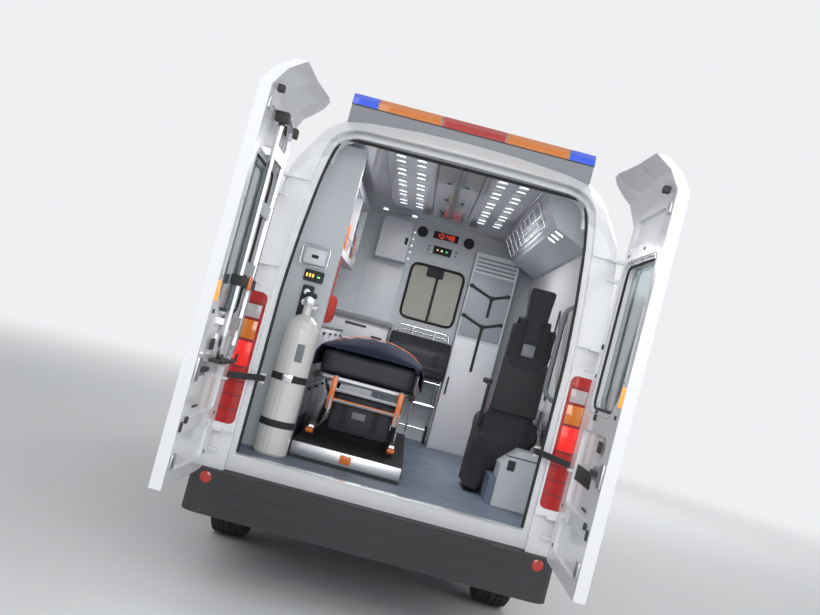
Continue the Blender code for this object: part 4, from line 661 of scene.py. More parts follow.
@dataclass
class Studio:
    """Pale floor, soft lamps and a camera where the photograph was taken from."""

    camera_place: tuple[float, float, float] = (-0.0321, -7.5459, 1.4663)
    yaw: float = 0.0113
    pitch: float = 0.0384
    roll: float = math.radians(-14.0) - 0.0155
    focal_pixels: float = 970.2
    image_width: float = 820.0
    sensor: float = 36.0
    floor_half: float = 60.0
    fade_span: tuple[float, float] = (5.0, 15.0)
    world_light: tuple[float, ...] = (0.86, 0.88, 0.90, 1.0)
    world_strength: float = 0.50
    backdrop: tuple[float, ...] = (0.86, 0.87, 0.89, 1.0)
    # name, place, aim, size and power in watts
    lamps: tuple[tuple[str, Point, Point, float, float], ...] = (
        ("key", (-4.5, -7.5, 6.5), (0.0, -1.0, 1.2), 5.0, 160.0),
        ("fill", (6.0, -6.0, 4.0), (0.0, 0.0, 1.2), 6.0, 165.0),
        ("front", (3.0, 8.5, 5.5), (0.0, 1.0, 1.0), 5.0, 280.0),
        ("inside", (0.0, tail(1.7), 2.50), (0.0, tail(1.7), 0.0), 0.9, 26.0),
        ("through the doors", (0.2, -6.6, 2.3), (0.0, 0.2, 1.3), 2.0, 58.0),
    )

    def camera(self) -> None:
        """Set the camera from its place and its three turns."""
        data = bpy.data.cameras.new("camera")
        data.sensor_width = self.sensor
        data.lens = self.focal_pixels / self.image_width * self.sensor
        data.clip_end = 300.0
        item = bpy.data.objects.new("camera", data)
        bpy.context.scene.collection.objects.link(item)
        turn = (
            Matrix.Rotation(self.yaw, 3, "Z")
            @ Matrix.Rotation(self.pitch, 3, "X")
            @ Matrix.Rotation(self.roll, 3, "Y")
        )
        right, ahead, up = turn.col[0], turn.col[1], turn.col[2]
        place = Matrix((right, up, -ahead)).transposed().to_4x4()
        place.translation = self.camera_place
        item.matrix_world = place
        bpy.context.scene.camera = item

    def lamp(self, name: str, place: Sequence[float], aim: Sequence[float], size: float, power: float) -> None:
        """Add one soft square lamp.

        Args:
            name: its name.
            place: where it stands.
            aim: the point it faces.
            size: its side.
            power: its power in watts.
        """
        data = bpy.data.lights.new(name, "AREA")
        data.shape = "SQUARE"
        data.size = size
        data.energy = power
        item = bpy.data.objects.new(name, data)
        bpy.context.scene.collection.objects.link(item)
        item.location = place
        item.rotation_euler = (Vector(aim) - Vector(place)).to_track_quat("-Z", "Y").to_euler()

    def world(self) -> None:
        """A pale world that lights evenly and shows as a pale backdrop."""
        made = bpy.data.worlds.new("studio")
        made.use_nodes = True
        tree = made.node_tree
        back = tree.nodes["Background"]
        back.inputs["Color"].default_value = self.world_light
        back.inputs["Strength"].default_value = self.world_strength
        shown = add_node(tree, "Background", {"Color": self.backdrop, "Strength": 1.0})
        path = add_node(tree, "LightPath").outputs
        seen = maths(tree, "MAXIMUM", path["Is Camera Ray"], path["Is Glossy Ray"])
        seen = maths(tree, "MAXIMUM", seen, path["Is Transmission Ray"])
        mix = add_node(tree, "MixShader", {0: seen, 1: back.outputs["Background"], 2: shown.outputs["Background"]})
        join(tree, mix.outputs["Shader"], tree.nodes["World Output"].inputs["Surface"])
        bpy.context.scene.world = made

    def floor(self) -> None:
        """A wide pale floor with a faint mottle."""
        bm = bmesh.new()
        half = self.floor_half
        corners = ((-half, -half), (half, -half), (half, half), (-half, half))
        bm.faces.new([bm.verts.new((x, y, 0.0)) for x, y in corners])
        mesh = bpy.data.meshes.new("studio_floor")
        bm.to_mesh(mesh)
        bm.free()
        item = bpy.data.objects.new("studio_floor", mesh)
        bpy.context.scene.collection.objects.link(item)
        pale = Finish("studio_floor", (0.74, 0.75, 0.76), (0.70, 0.71, 0.72), 0.3, 0.8, 0.05, bump=0.0, cloud=0.5)
        wear(item, pale)
        self.fade(pale.material())

    def fade(self, made: bpy.types.Material) -> None:
        """Let the floor turn into the backdrop far from the vehicle."""
        tree = made.node_tree
        place = add_node(tree, "TexCoord").outputs["Object"]
        reach = add_node(tree, "VectorMath", {0: place}, operation="LENGTH").outputs["Value"]
        start, end = self.fade_span
        span = {"Value": reach, "From Min": start, "From Max": end}
        share = add_node(tree, "MapRange", span, interpolation_type="SMOOTHSTEP").outputs["Result"]
        far = add_node(tree, "Emission", {"Color": self.backdrop}).outputs["Emission"]
        near = tree.nodes["Principled BSDF"].outputs["BSDF"]
        mix = add_node(tree, "MixShader", {0: share, 1: near, 2: far})
        join(tree, mix.outputs["Shader"], tree.nodes["Material Output"].inputs["Surface"])

    def build(self) -> None:
        """Make the whole studio."""
        bpy.context.scene.view_settings.view_transform = "Standard"
        self.world()
        self.floor()
        self.camera()
        for row in self.lamps:
            self.lamp(*row)


@dataclass
class FrameDressing:
    """Finishes of the carried-over pieces, by their slot in the record."""

    special: dict[str, Finish] = field(default_factory=dict)

    def build(self) -> None:
        """Dress every node of the frame."""
        slots = {row["node"]: row["material_slot"] for row in frame["record"]["subparts"]}
        for node, item in frame["nodes"].items():
            wear(item, self.special.get(node, FINISHES[Slot(slots[node])]))


@dataclass
class RearAperture:
    """Rubber seal, pressed ridges and striker plates of the rear door opening."""

    seal_radius: float = 0.010
    inset: float = 0.004
    # height, half width and depth
    profile: tuple[tuple[float, float, float], ...] = (
        (0.695, 0.7825, 0.072), (1.60, 0.7825, 0.072), (1.90, 0.765, 0.072), (2.20, 0.735, 0.072),
        (2.30, 0.720, 0.085), (2.40, 0.704, 0.135),
    )
    head: float = 2.484
    head_half: float = 0.690
    head_depth: float = 0.225
    ridge_depths: tuple[float, ...] = (0.090, 0.101, 0.112, 0.123)
    ridge_radius: float = 0.0035

    def seal(self) -> None:
        """Run the black seal round the opening, behind where the shut doors' inner faces stand."""
        left = [(-half + self.inset, tail(depth), height) for height, half, depth in self.profile]
        top = [(-self.head_half + self.inset, tail(self.head_depth), self.head)]
        right = [(-x, y, z) for x, y, z in reversed(left + top)]
        tubes("aperture_seal", [soften(left + top + right, 0.09)], self.seal_radius, RUBBER)

    def ridges(self) -> None:
        """Press parallel ridges down each pillar, inside the opening."""
        paths = [
            [(side * (half - 0.001), tail(depth), height) for height, half, _ in self.profile[:5]]
            for side, _ in SIDES for depth in self.ridge_depths
        ]
        tubes("pillar_ridges", paths, self.ridge_radius, PAINT)

    def strikers(self) -> None:
        """Fit the striker plates on the sill, and the sill's metal edge."""
        rows = [(side * 0.03, side * 0.10, tail(0.080), tail(0.118), 0.6825, 0.6865) for side, _ in SIDES]
        boxes("door_strikers", rows, STEEL)
        boxes("sill_edge", [(-0.69, 0.69, tail(0.0590), tail(0.0745), 0.6795, 0.6835)], ALUMINIUM, bevel=0.001)

    def build(self) -> None:
        """Make the trim of the opening."""
        self.seal()
        self.ridges()
        self.strikers()


@dataclass
class RearDoorFittings:
    """Locks, recesses, seals and straps on the inner face of one open rear door."""

    side: int
    name: str
    face: float = 0.055
    hinge_x: float = 0.965
    hinge_y: float = -2.48275
    hinge_set: float = 0.016
    # distance from the hinge, then height: lower and upper
    pane: tuple[float, float, float, float] = (0.305, 0.865, 1.411, 2.109)
    pane_corner: float = 0.11
    # name, how far outside the pane, radius, how far proud, and finish
    loops: tuple[tuple[str, float, float, float, Finish], ...] = (
        ("window_rubber", 0.004, 0.007, -0.014, RUBBER),
        ("window_reveal_edge", 0.028, 0.0035, 0.001, REVEAL),
    )

    @property
    def body(self) -> str:
        """The body that these pieces ride on."""
        return f"rear_door_{self.name}"

    def place(self, u: float, z: float, depth: float) -> Point:
        """Return a point from its distance to the hinge, its height and its depth in the door."""
        return (self.side * (self.hinge_x - depth - self.hinge_set), self.hinge_y - u, z)

    def group(self, name: str, rows: Sequence[Sequence[float]], finish: Look, bevel: float = 0.003) -> None:
        """Make one object of several boxes on the face.

        Args:
            name: what they are.
            rows: u low, u high, z low, z high, proud low, proud high.
            finish: their finish.
            bevel: the radius of their edges.
        """
        bm = bmesh.new()
        for u0, u1, z0, z1, proud0, proud1 in rows:
            ends = self.place(u0, z0, self.face + proud0), self.place(u1, z1, self.face + proud1)
            add_box(bm, [min(pair) for pair in zip(*ends)], [max(pair) for pair in zip(*ends)], bevel)
        piece(f"{name}_{self.name}", bm, finish, self.body)

    def loop(self, name: str, inset: float, radius: float, proud: float, finish: Look) -> None:
        """Run a tube round the window.

        Args:
            name: what it is.
            inset: how far outside the pane's edge it runs.
            radius: its radius.
            proud: how far it stands from the face.
            finish: its finish.
        """
        u0, u1, z0, z1 = (edge + way * inset for edge, way in zip(self.pane, (-1, 1, -1, 1)))
        cut = self.pane_corner
        corners = [(u0, z0), (u1 - cut, z0), (u1, z0 + cut), (u1, z1), (u0, z1)]
        path = soften([self.place(u, z, self.face + proud) for u, z in corners], 0.06, True)
        tubes(f"{name}_{self.name}", [path], radius, finish, self.body, True)

    def locks(self) -> None:
        """Fit the latch, its rods' covers, the pull recess and the small plugs."""
        self.group("door_dark_parts", [
            (0.44, 0.50, 1.350, 1.400, 0.0, 0.004), (0.70, 0.78, 1.222, 1.275, 0.0, 0.006),
            (0.872, 0.908, 1.385, 1.403, 0.0, 0.003), (0.63, 0.73, 0.952, 0.962, -0.012, -0.008),
            (0.212, 0.238, 1.695, 1.721, 0.0, 0.006), (0.845, 0.875, 0.895, 0.925, 0.0, 0.012),
            (0.900, 0.935, 0.860, 0.905, 0.0, 0.006),
        ], DARK)
        self.group("door_latch", [
            (0.880, 0.952, 1.085, 1.190, 0.0, 0.012), (0.880, 0.945, 0.700, 0.765, 0.0, 0.010),
            (0.890, 0.945, 2.300, 2.350, 0.0, 0.010),
        ], STEEL)
        self.group("door_latch_pull", [(0.74, 0.845, 1.125, 1.148, 0.004, 0.022)], DARK, 0.006)
        self.group("door_latch_plate", [(0.73, 0.86, 1.105, 1.165, -0.012, 0.005)], GREY, 0.004)
        # distance from the hinge, height and radius
        plugs = ((0.225, 1.56, 0.011), (0.23, 0.90, 0.010), (0.23, 0.70, 0.010), (0.60, 2.18, 0.009),
                 (0.89, 1.55, 0.008), (0.89, 1.90, 0.008), (0.29, 2.17, 0.009))
        turned(f"door_plugs_{self.name}", [
            (self.place(u, z, self.face), (-self.side, 0, 0), [(r, -0.001), (r, 0.002), (0.6 * r, 0.003)], 14)
            for u, z, r in plugs
        ], DARK, self.body)

    def seal(self) -> None:
        """Run the rubber seal down the free edge, and the loops round the window."""
        path = [self.place(0.945, 2.33, 0.022), self.place(0.952, 1.60, 0.030), self.place(0.952, 0.625, 0.030)]
        tubes(f"door_meeting_seal_{self.name}", [path], 0.008, RUBBER, self.body)
        for row in self.loops:
            self.loop(*row)

    def marker(self) -> None:
        """Fit the small orange marker lamp that shows when the door stands open."""
        self.group("door_marker", [(0.915, 0.938, 1.44, 1.53, 0.0, 0.010)], ORANGE_GLOW, 0.004)
        self.group("door_tip_lamp", [(0.885, 0.930, 2.385, 2.415, 0.02, 0.05)], DARK, 0.004)

    def carrier(self) -> None:
        """On the left door, hold the scoop stretcher with clips, straps and a lower tray."""
        if self.side > 0:
            self.group("door_step_patch", [(0.290, 0.66, 1.045, 1.120, -0.0135, -0.010)], RUBBER, 0.002)
            return
        self.group("scoop_clips", [
            (0.330, 0.395, 2.300, 2.345, 0.0, 0.062), (0.655, 0.720, 2.300, 2.345, 0.0, 0.062),
            (0.330, 0.720, 1.168, 1.186, 0.0, 0.060), (0.330, 0.345, 1.168, 1.215, 0.048, 0.060),
            (0.705, 0.720, 1.168, 1.215, 0.048, 0.060),
        ], CHASSIS_BLACK, 0.004)
        self.group("scoop_strap", [(0.335, 0.715, 1.530, 1.578, 0.0485, 0.0515),
                                   (0.333, 0.337, 1.53, 1.578, 0.0, 0.050),
                                   (0.713, 0.717, 1.53, 1.578, 0.0, 0.050)], WEBBING, 0.001)
        self.group("scoop_buckle", [(0.495, 0.555, 1.522, 1.586, 0.0515, 0.062)], ORANGE, 0.005)

    def build(self) -> None:
        """Make the fittings of this door."""
        self.locks()
        self.seal()
        self.marker()
        self.carrier()


@dataclass
class LoadCeiling:
    """Lit lenses of the half-moon ceiling lamps and the panels' edges."""

    radius: float = 0.030
    rows: tuple[float, ...] = (-0.38, -0.25, 0.25, 0.38)
    first: float = 0.68
    pitch: float = 0.435
    pair_step: float = 0.165
    pairs: int = 5
    bottom: float = 2.5495
    # a lamp panel's sides in x, and its ends as distances ahead of the rear face
    panel_x: tuple[float, float] = (0.148, 0.478)
    panel_ends: tuple[float, float] = (0.587, 2.903)
    panel_z: float = 2.567

    def build(self) -> None:
        """Make the lenses and the dark gap round each lamp panel."""
        turns = [math.pi + math.pi * part / 14 for part in range(15)]
        half_moon = [(self.radius * math.cos(a), self.radius * math.sin(a)) for a in turns]
        bm = bmesh.new()
        for x in self.rows:
            for pair in range(self.pairs):
                for step in (0.0, self.pair_step):
                    y = tail(self.first + self.pitch * pair + step)
                    add_prism(bm, [(x + dx, y + dy, self.bottom) for dx, dy in half_moon], (0, 0, -0.003), 0.001)
        piece("ceiling_lamp_lenses", bm, WHITE_LIGHT)
        (x0, x1), (d0, d1) = self.panel_x, self.panel_ends
        corners = ((x0, d0), (x1, d0), (x1, d1), (x0, d1))
        loops = [soften([(side * x, tail(d), self.panel_z) for x, d in corners], 0.03, True) for side, _ in SIDES]
        tubes("lamp_panel_edges", loops, 0.003, GREY, closed=True)
        turned("ceiling_screw_caps", [
            ((x, tail(d), 2.571), (0, 0, -1), [(0.014, 0), (0.014, 0.003), (0.010, 0.005)], 16)
            for x in (-0.06, 0.06) for d in (0.62, 1.30, 2.00, 2.70)
        ], DARK)
        boxes("ceiling_hook_rail", [(-0.02, 0.02, tail(0.62), tail(2.85), 2.556, 2.5695)], ALUMINIUM)


@dataclass
class BulkheadFittings:
    """What hangs on the wall behind the cab: window, panel, clock, cupboards and straps."""

    wall: float = 0.99325
    # width, height of half a digit and thickness of a bar
    digit_size: tuple[float, float, float] = (0.022, 0.021, 0.0045)
    digit_place: tuple[float, float] = (-0.066, 2.4485)
    # radius and place along the axis
    speaker: tuple[tuple[float, float], ...] = (
        (0.046, 0), (0.048, 0.004), (0.040, 0.007), (0.038, 0.004), (0.012, 0.004), (0.010, 0.009), (0, 0.010),
    )

    def out(self, depth: float) -> float:
        """Return y at a distance out of the wall."""
        return self.wall - depth

    def window(self) -> None:
        """Frame the window, with its divider and the blind's box above."""
        y = self.out(0.006)
        path = soften([(-0.205, y, 1.705), (0.270, y, 1.705), (0.270, y, 2.194), (-0.205, y, 2.194)], 0.07, True)
        tubes("bulkhead_window_rubber", [path], 0.011, RUBBER, closed=True)
        boxes("bulkhead_window_divider", [(0.028, 0.052, self.out(0.0), self.out(0.014), 1.712, 2.188)], DARK)
        boxes("window_blind_box", [(-0.065, 0.085, self.out(0.0), self.out(0.035), 2.105, 2.185)],
              DARK, bevel=0.006)

    def sounds_and_clock(self) -> None:
        """Fit the speakers, the clock's digits and the panel's keys."""
        bm, z = bmesh.new(), 2.469
        for x in (-0.19, 0.23):
            add_turned(bm, (x, self.out(0.022), z), (0, -1, 0), self.speaker, 28)
            for reach in (0.020, 0.029):
                path = [(x + reach * math.cos(a), self.out(0.027), z + reach * math.sin(a)) for a in circle(24)]
                add_tube(bm, path, 0.0018, True, 6)
        piece("speaker_grilles", bm, DARK)
        boxes("clock_pane", [(-0.092, 0.132, self.out(0.049), self.out(0.0515), 2.437, 2.503)], RUBBER, bevel=0.001)
        self.digits()
        boxes("control_panel_face", [(-0.062, 0.102, self.out(0.034), self.out(0.038), 2.306, 2.378)], RUBBER,
              bevel=0.001)
        keys = [(x, x + 0.014, self.out(0.0375), self.out(0.041), 2.336, 2.350) for x in (-0.030, 0.008, 0.052)]
        boxes("panel_key_amber", keys[:1], AMBER_LIGHT, bevel=0.003)
        boxes("panel_key_white", keys[1:2], WHITE_LIGHT, bevel=0.003)
        boxes("panel_key_green", keys[2:], GREEN_LIGHT, bevel=0.003)
        rims = [(x, x + 0.018, self.out(0.034), self.out(0.042), z, z + 0.020)
                for x in (-0.112, 0.132) for z in (2.318, 2.350)]
        boxes("panel_side_keys", rims, GREY, bevel=0.003)

    def digits(self) -> None:
        """Light the clock's plain digits, each of up to seven bars."""
        # each bar's column, row and whether it lies level
        bars = {"a": (0, 2, 1), "b": (1, 1, 0), "c": (1, 0, 0), "d": (0, 0, 1), "e": (0, 0, 0), "f": (0, 1, 0),
                "g": (0, 1, 1)}
        near, far = self.out(0.053), self.out(0.0514)
        wide, tall, thick = self.digit_size
        bm = bmesh.new()
        for index, lit in enumerate(("bc", "abcdef", "fgbc", "abcdefg")):
            left = self.digit_place[0] + 0.040 * index + 0.016 * (index > 1)
            for column, row, level in (bars[bar] for bar in lit):
                x, z = left + column * wide, self.digit_place[1] + row * tall
                if level:
                    low, high = (x + thick, z - thick / 2), (x + wide, z + thick / 2)
                else:
                    low, high = (x, z + thick / 2), (x + thick, z + tall - thick / 2)
                add_box(bm, (low[0], near, low[1]), (high[0], far, high[1]), 0.0004)
        for z in (2.461, 2.479):
            add_box(bm, (0.016, near, z), (0.021, far, z + 0.005), 0.0004)
        piece("clock_digits", bm, RED_LIGHT)

    def cupboards(self) -> None:
        """Mark the cupboards' doors, drawers, handles and spots."""
        doors = [
            (-0.532, -0.278, self.out(0.199), self.out(0.205), 2.158, 2.502),
            (0.318, 0.682, self.out(0.309), self.out(0.315), 0.695, 1.640),
        ]
        drawers = [(-0.84, -0.262, self.out(0.359), self.out(0.366), z, min(z + 0.168, 1.57))
                   for z in (0.72, 0.895, 1.07, 1.245, 1.42)]
        boxes("bulkhead_doors", doors + drawers, WHITE, bevel=0.004)
        drawer_pulls = [(-0.62, -0.44, self.out(0.364), self.out(0.378), z, z + 0.016)
                        for z in (0.85, 1.025, 1.20, 1.375, 1.52)]
        door_pulls = [(-0.315, -0.290, self.out(0.203), self.out(0.215), 2.30, 2.36),
                      (0.335, 0.350, self.out(0.313), self.out(0.326), 1.15, 1.30)]
        boxes("bulkhead_handles", drawer_pulls + door_pulls, DARK, bevel=0.003)
        boxes("worktop_edge", [(-0.86, -0.232, self.out(0.397), self.out(0.405), 1.573, 1.612)], GREY, bevel=0.003)
        boxes("wall_recess_panel", [(-0.60, -0.27, self.out(0.0), self.out(0.006), 1.625, 2.135)], WHITE,
              bevel=0.003)
        slats = [(0.330, 0.670, self.out(0.309), self.out(0.316), 2.235 + 0.034 * row, 2.250 + 0.034 * row)
                 for row in range(4)]
        boxes("tall_cabinet_slats", slats, GREY, bevel=0.002)
        # The upper door wears painted shade, darker than the white door below it
        boxes("tall_cabinet_upper_door", [(0.322, 0.678, self.out(0.309), self.out(0.313), 1.665, 2.215)],
              PAINTED_SHADE_GREY)
        bm, plates = bmesh.new(), []
        for x, z, left, right, drop in ((0.527, 2.030, 0.190, 0.130, 0.165), (0.508, 1.775, 0.175, 0.145, 0.390)):
            y = self.out(0.3135)
            for dx, dz in ((-left, 0.36 * left), (right, 0.38 * right), (0.0, -drop)):
                way = Vector((dx, 0, dz)).normalized()
                across = way.cross(Vector((0, 1, 0))) * 0.012
                start, end = Vector((x, y, z)) - way * 0.01, Vector((x + dx, y, z + dz))
                corners = [start - across, start + across, end + across, end - across]
                add_prism(bm, [tuple(corner) for corner in corners], (0, -0.003, 0))
                if dx:
                    plates.append((end.x - 0.020, end.x + 0.020, y - 0.010, y, end.z - 0.016, end.z + 0.016))
            plates.append((x - 0.018, x + 0.018, y - 0.012, y, z - 0.022, z + 0.022))
        piece("cabinet_y_straps", bm, WEBBING)
        boxes("cabinet_strap_plates", plates, DARK, bevel=0.004)
        spots = [(-0.262, -0.250, self.out(0.0), self.out(0.012), z, z + 0.012)
                 for z in (2.20, 2.26, 2.32, 2.38, 2.44)]
        boxes("wall_spots", spots, WHITE_LIGHT)
        spot = [(0.024, 0), (0.024, 0.006), (0.018, 0.009), (0, 0.010)]
        places = [(x, self.out(0.115), 2.5705) for x in (-0.55, -0.29)]
        turned("corner_spots", [(place, (0, 0, -1), spot, 24) for place in places], WHITE_LIGHT)

    def build(self) -> None:
        """Make everything on this wall."""
        self.window()
        self.sounds_and_clock()
        self.cupboards()


@dataclass
class WallEquipment:
    """Drawers, shelves' contents and care equipment along the left wall."""

    low_face: float = -0.62
    shelf_face: float = -0.66
    niches: tuple[float, ...] = (0.72, 1.46, 2.20)
    # name, finish, place in its niche, width and height
    cases: tuple[tuple[str, Finish, float, float, float], ...] = (
        ("green", GREEN_KIT, 0.03, 0.17, 0.26), ("blue", BLUE_KIT, 0.23, 0.20, 0.33),
        ("orange", ORANGE, 0.46, 0.17, 0.22),
    )

    def drawers(self) -> None:
        """Mark the low cabinet's drawers and their handles."""
        face = self.low_face
        places = [(start, z) for start in (0.64, 1.12, 1.60, 2.08, 2.56) for z in (0.88, 1.07, 1.26)]
        fronts = [(face, face + 0.006, tail(d), tail(d + 0.45), z, z + 0.172) for d, z in places]
        pulls = [(face + 0.004, face + 0.016, tail(d + 0.16), tail(d + 0.29), z + 0.135, z + 0.150)
                 for d, z in places]
        boxes("low_cabinet_fronts", fronts, WHITE, bevel=0.003)
        boxes("low_cabinet_pulls", pulls, DARK, bevel=0.003)
        boxes("cabinet_top_edge", [(face, face + 0.007, tail(0.60), tail(3.04), 1.438, 1.455)], GREY)

    def shelves(self) -> None:
        """Fill the upper niches with plain cases behind a rail each."""
        for colour, finish, step, wide, tall in self.cases:
            rows = [(-0.83, -0.685, tail(start + step), tail(start + step + wide), 2.0, 2.0 + tall)
                    for start in self.niches]
            boxes(f"cases_{colour}", rows, finish, bevel=0.018)
        x, z = self.shelf_face + 0.006, 2.085
        rails = [[(x, tail(start), z), (x, tail(start + 0.66), z)] for start in self.niches]
        tubes("shelf_rails", rails, 0.006, CHROME)

    def end_panel(self) -> None:
        """Hang the dispenser, the display and the oxygen regulator on the end panel."""
        y = tail(0.52)
        boxes("glove_dispenser", [(-0.760, -0.630, y - 0.050, y, 1.775, 1.870)], WHITE, bevel=0.008)
        boxes("dispenser_slot", [(-0.715, -0.675, y - 0.0515, y - 0.045, 1.812, 1.832)], RUBBER)
        boxes("care_display", [(-0.735, -0.620, y - 0.028, y, 1.680, 1.745)], DARK, bevel=0.006)
        boxes("care_display_mark", [(-0.655, -0.640, y - 0.0295, y - 0.0275, 1.706, 1.716)], GREEN_LIGHT)
        figures = [(x, x + 0.010, y - 0.0295, y - 0.0275, 1.704, 1.724)
                   for x in (-0.722 + 0.018 * k for k in range(3))]
        boxes("care_display_figures", figures, AMBER_LIGHT)
        wire = [(x, y - 0.056, z) for x, z in ((-0.775, 1.765), (-0.775, 1.885), (-0.615, 1.885), (-0.615, 1.765))]
        tubes("dispenser_wire", [soften(wire, 0.02, True)], 0.0035, CHROME, closed=True)
        boxes("regulator_plate", [(-0.722, -0.655, y - 0.030, y, 1.470, 1.655)], DARK, bevel=0.008)
        gauge = [(0.020, 0), (0.020, 0.018), (0.016, 0.022), (0.013, 0.022), (0, 0.023)]
        turned("regulator_gauges", [((-0.688, y - 0.029, z), (0, -1, 0), gauge, 22) for z in (1.615, 1.555)],
               CHROME)
        belts = [(-0.612, -0.606, tail(0.60), tail(0.63), 1.50, 2.10)]
        belts += [(-0.660, -0.653, tail(d), tail(d + 0.03), 1.47, 1.95) for d in (1.05, 1.62)]
        boxes("hanging_belts", belts, RED_CLOTH, bevel=0.001)
        boxes("wall_socket_strip", [(-0.80, -0.765, tail(0.70), tail(2.90), 1.60, 1.68)], GREY, bevel=0.004)
        boxes("care_monitor", [(-0.90, -0.70, tail(1.30), tail(1.62), 1.47, 1.72)], GREY, bevel=0.016)
        boxes("care_monitor_pane", [(-0.701, -0.696, tail(1.34), tail(1.58), 1.54, 1.69)], RUBBER, bevel=0.002)
        boxes("care_pump", [(-0.90, -0.72, tail(1.80), tail(1.96), 1.47, 1.66)], WHITE, bevel=0.014)
        boxes("care_bag", [(-0.90, -0.68, tail(2.15), tail(2.60), 1.47, 1.70)], RED_CLOTH, bevel=0.05)

    def build(self) -> None:
        """Make the equipment of the left wall."""
        self.drawers()
        self.shelves()
        self.end_panel()


@dataclass
class CylinderFittings:
    """Strap, valve and gauge of the standing oxygen cylinder."""

    centre: tuple[float, float] = (-0.65, 0.40)
    radius: float = 0.0975

    def build(self) -> None:
        """Make the fittings."""
        x, y = self.centre[0], tail(self.centre[1])
        inner, outer = self.radius + 0.001, self.radius + 0.0035
        strap = [(inner, 0), (outer, 0.001), (outer, 0.039), (inner, 0.040)]
        turned("cylinder_straps", [((x, y, z - 0.020), (0, 0, 1), strap, 40) for z in (0.86, 1.12)], WEBBING)
        boxes("cylinder_buckle", [(x - 0.03, x + 0.03, y - self.radius - 0.012, y - self.radius, 1.10, 1.14)],
              CHROME)
        knob = [(0.010, 0), (0.010, 0.015), (0.024, 0.018), (0.024, 0.030), (0, 0.034)]
        gauge = [(0.012, 0), (0.012, 0.02), (0.026, 0.026), (0.026, 0.040), (0, 0.046)]
        turned("cylinder_valve_parts", [((x + 0.022, y, 1.535), (1, 0, 0), knob, 22),
                                        ((x, y - 0.02, 1.565), (0, -1, 0), gauge, 26)], CHROME)
        hand_wheel = [(0.020, 0), (0.034, 0.004), (0.034, 0.022), (0.026, 0.030), (0, 0.032)]
        turned("cylinder_hand_wheel", [((x, y, 1.585), (0, 0, 1), hand_wheel, 20)], DARK)
        boxes("cylinder_label_blank", [(x + 0.010, x + 0.052, y - self.radius - 0.0035, y - self.radius + 0.012,
                                        1.22, 1.32)], GREY, bevel=0.002)


@dataclass
class CarryChair:
    """Folded carry chair that stands against the wall under its window."""

    x: tuple[float, float] = (-0.225, 0.300)
    front: float = 0.62
    # how far behind the front the loop and the long frame stand
    loop_back: float = 0.16
    frame_back: float = 0.22

    def build(self) -> None:
        """Make the frame, the folded cover, the wheels and the straps."""
        x0, x1 = self.x
        middle, back, near = self.front + self.loop_back, self.front + self.frame_back, self.front + 0.05
        loop = [(x, middle, z) for x, z in ((-0.195, 1.48), (-0.195, 1.635), (0.268, 1.635), (0.268, 1.48))]
        front_posts = [[(x, middle, 1.50), (x, middle, 1.635)] for x in (-0.05, 0.14)]
        left, right = x0 + 0.03, x1 - 0.03
        frame_rail = [(x, back, z) for x, z in ((left, 0.76), (left, 1.60), (right, 1.60), (right, 0.76))]
        cross = [[(left, back, z), (right, back, z)] for z in (1.015, 0.80)]
        front_bars = [[(0.10, near, z), (0.29, near, z)] for z in (1.210, 1.015)]
        legs = [[(x, near, 1.25), (x, near, 0.76)] for x in (0.10, 0.29)]
        paths = [soften(loop, 0.05), soften(frame_rail, 0.06)] + front_posts + cross + front_bars + legs
        tubes("carry_chair_frame", paths, 0.0085, CHROME)
        bm = bmesh.new()
        outline = soften([(x0, self.front, 1.235), (x0, self.front + 0.27, 1.235), (x0, self.front + 0.27, 1.52),
                          (x0, self.front + 0.12, 1.575), (x0, self.front, 1.46)], 0.045, True, 6)
        add_prism(bm, outline, (x1 - x0, 0, 0), 0.016)
        piece("carry_chair_cover", bm, CARRY_CLOTH, crease=50.0)
        belts = [(x, x + 0.045, self.front - 0.005, self.front + 0.001, 1.26, 1.45) for x in (-0.15, 0.18)]
        boxes("carry_chair_belts", belts, WEBBING, bevel=0.001)
        flap = (x0 + 0.02, x1 - 0.02, self.front - 0.010, self.front + 0.002, 1.30, 1.335)
        boxes("carry_chair_flap", [flap], CARRY_CLOTH, bevel=0.004)
        wheel = [(0.03, 0), (0.068, 0.002), (0.074, 0.006), (0.074, 0.018), (0.068, 0.022), (0.03, 0.024)]
        places = [(x, self.front + self.frame_back, 0.760) for x in (x0 + 0.012, x1 - 0.036)]
        turned("carry_chair_wheels", [(place, (1, 0, 0), wheel, 32) for place in places], TYRE_RUBBER)


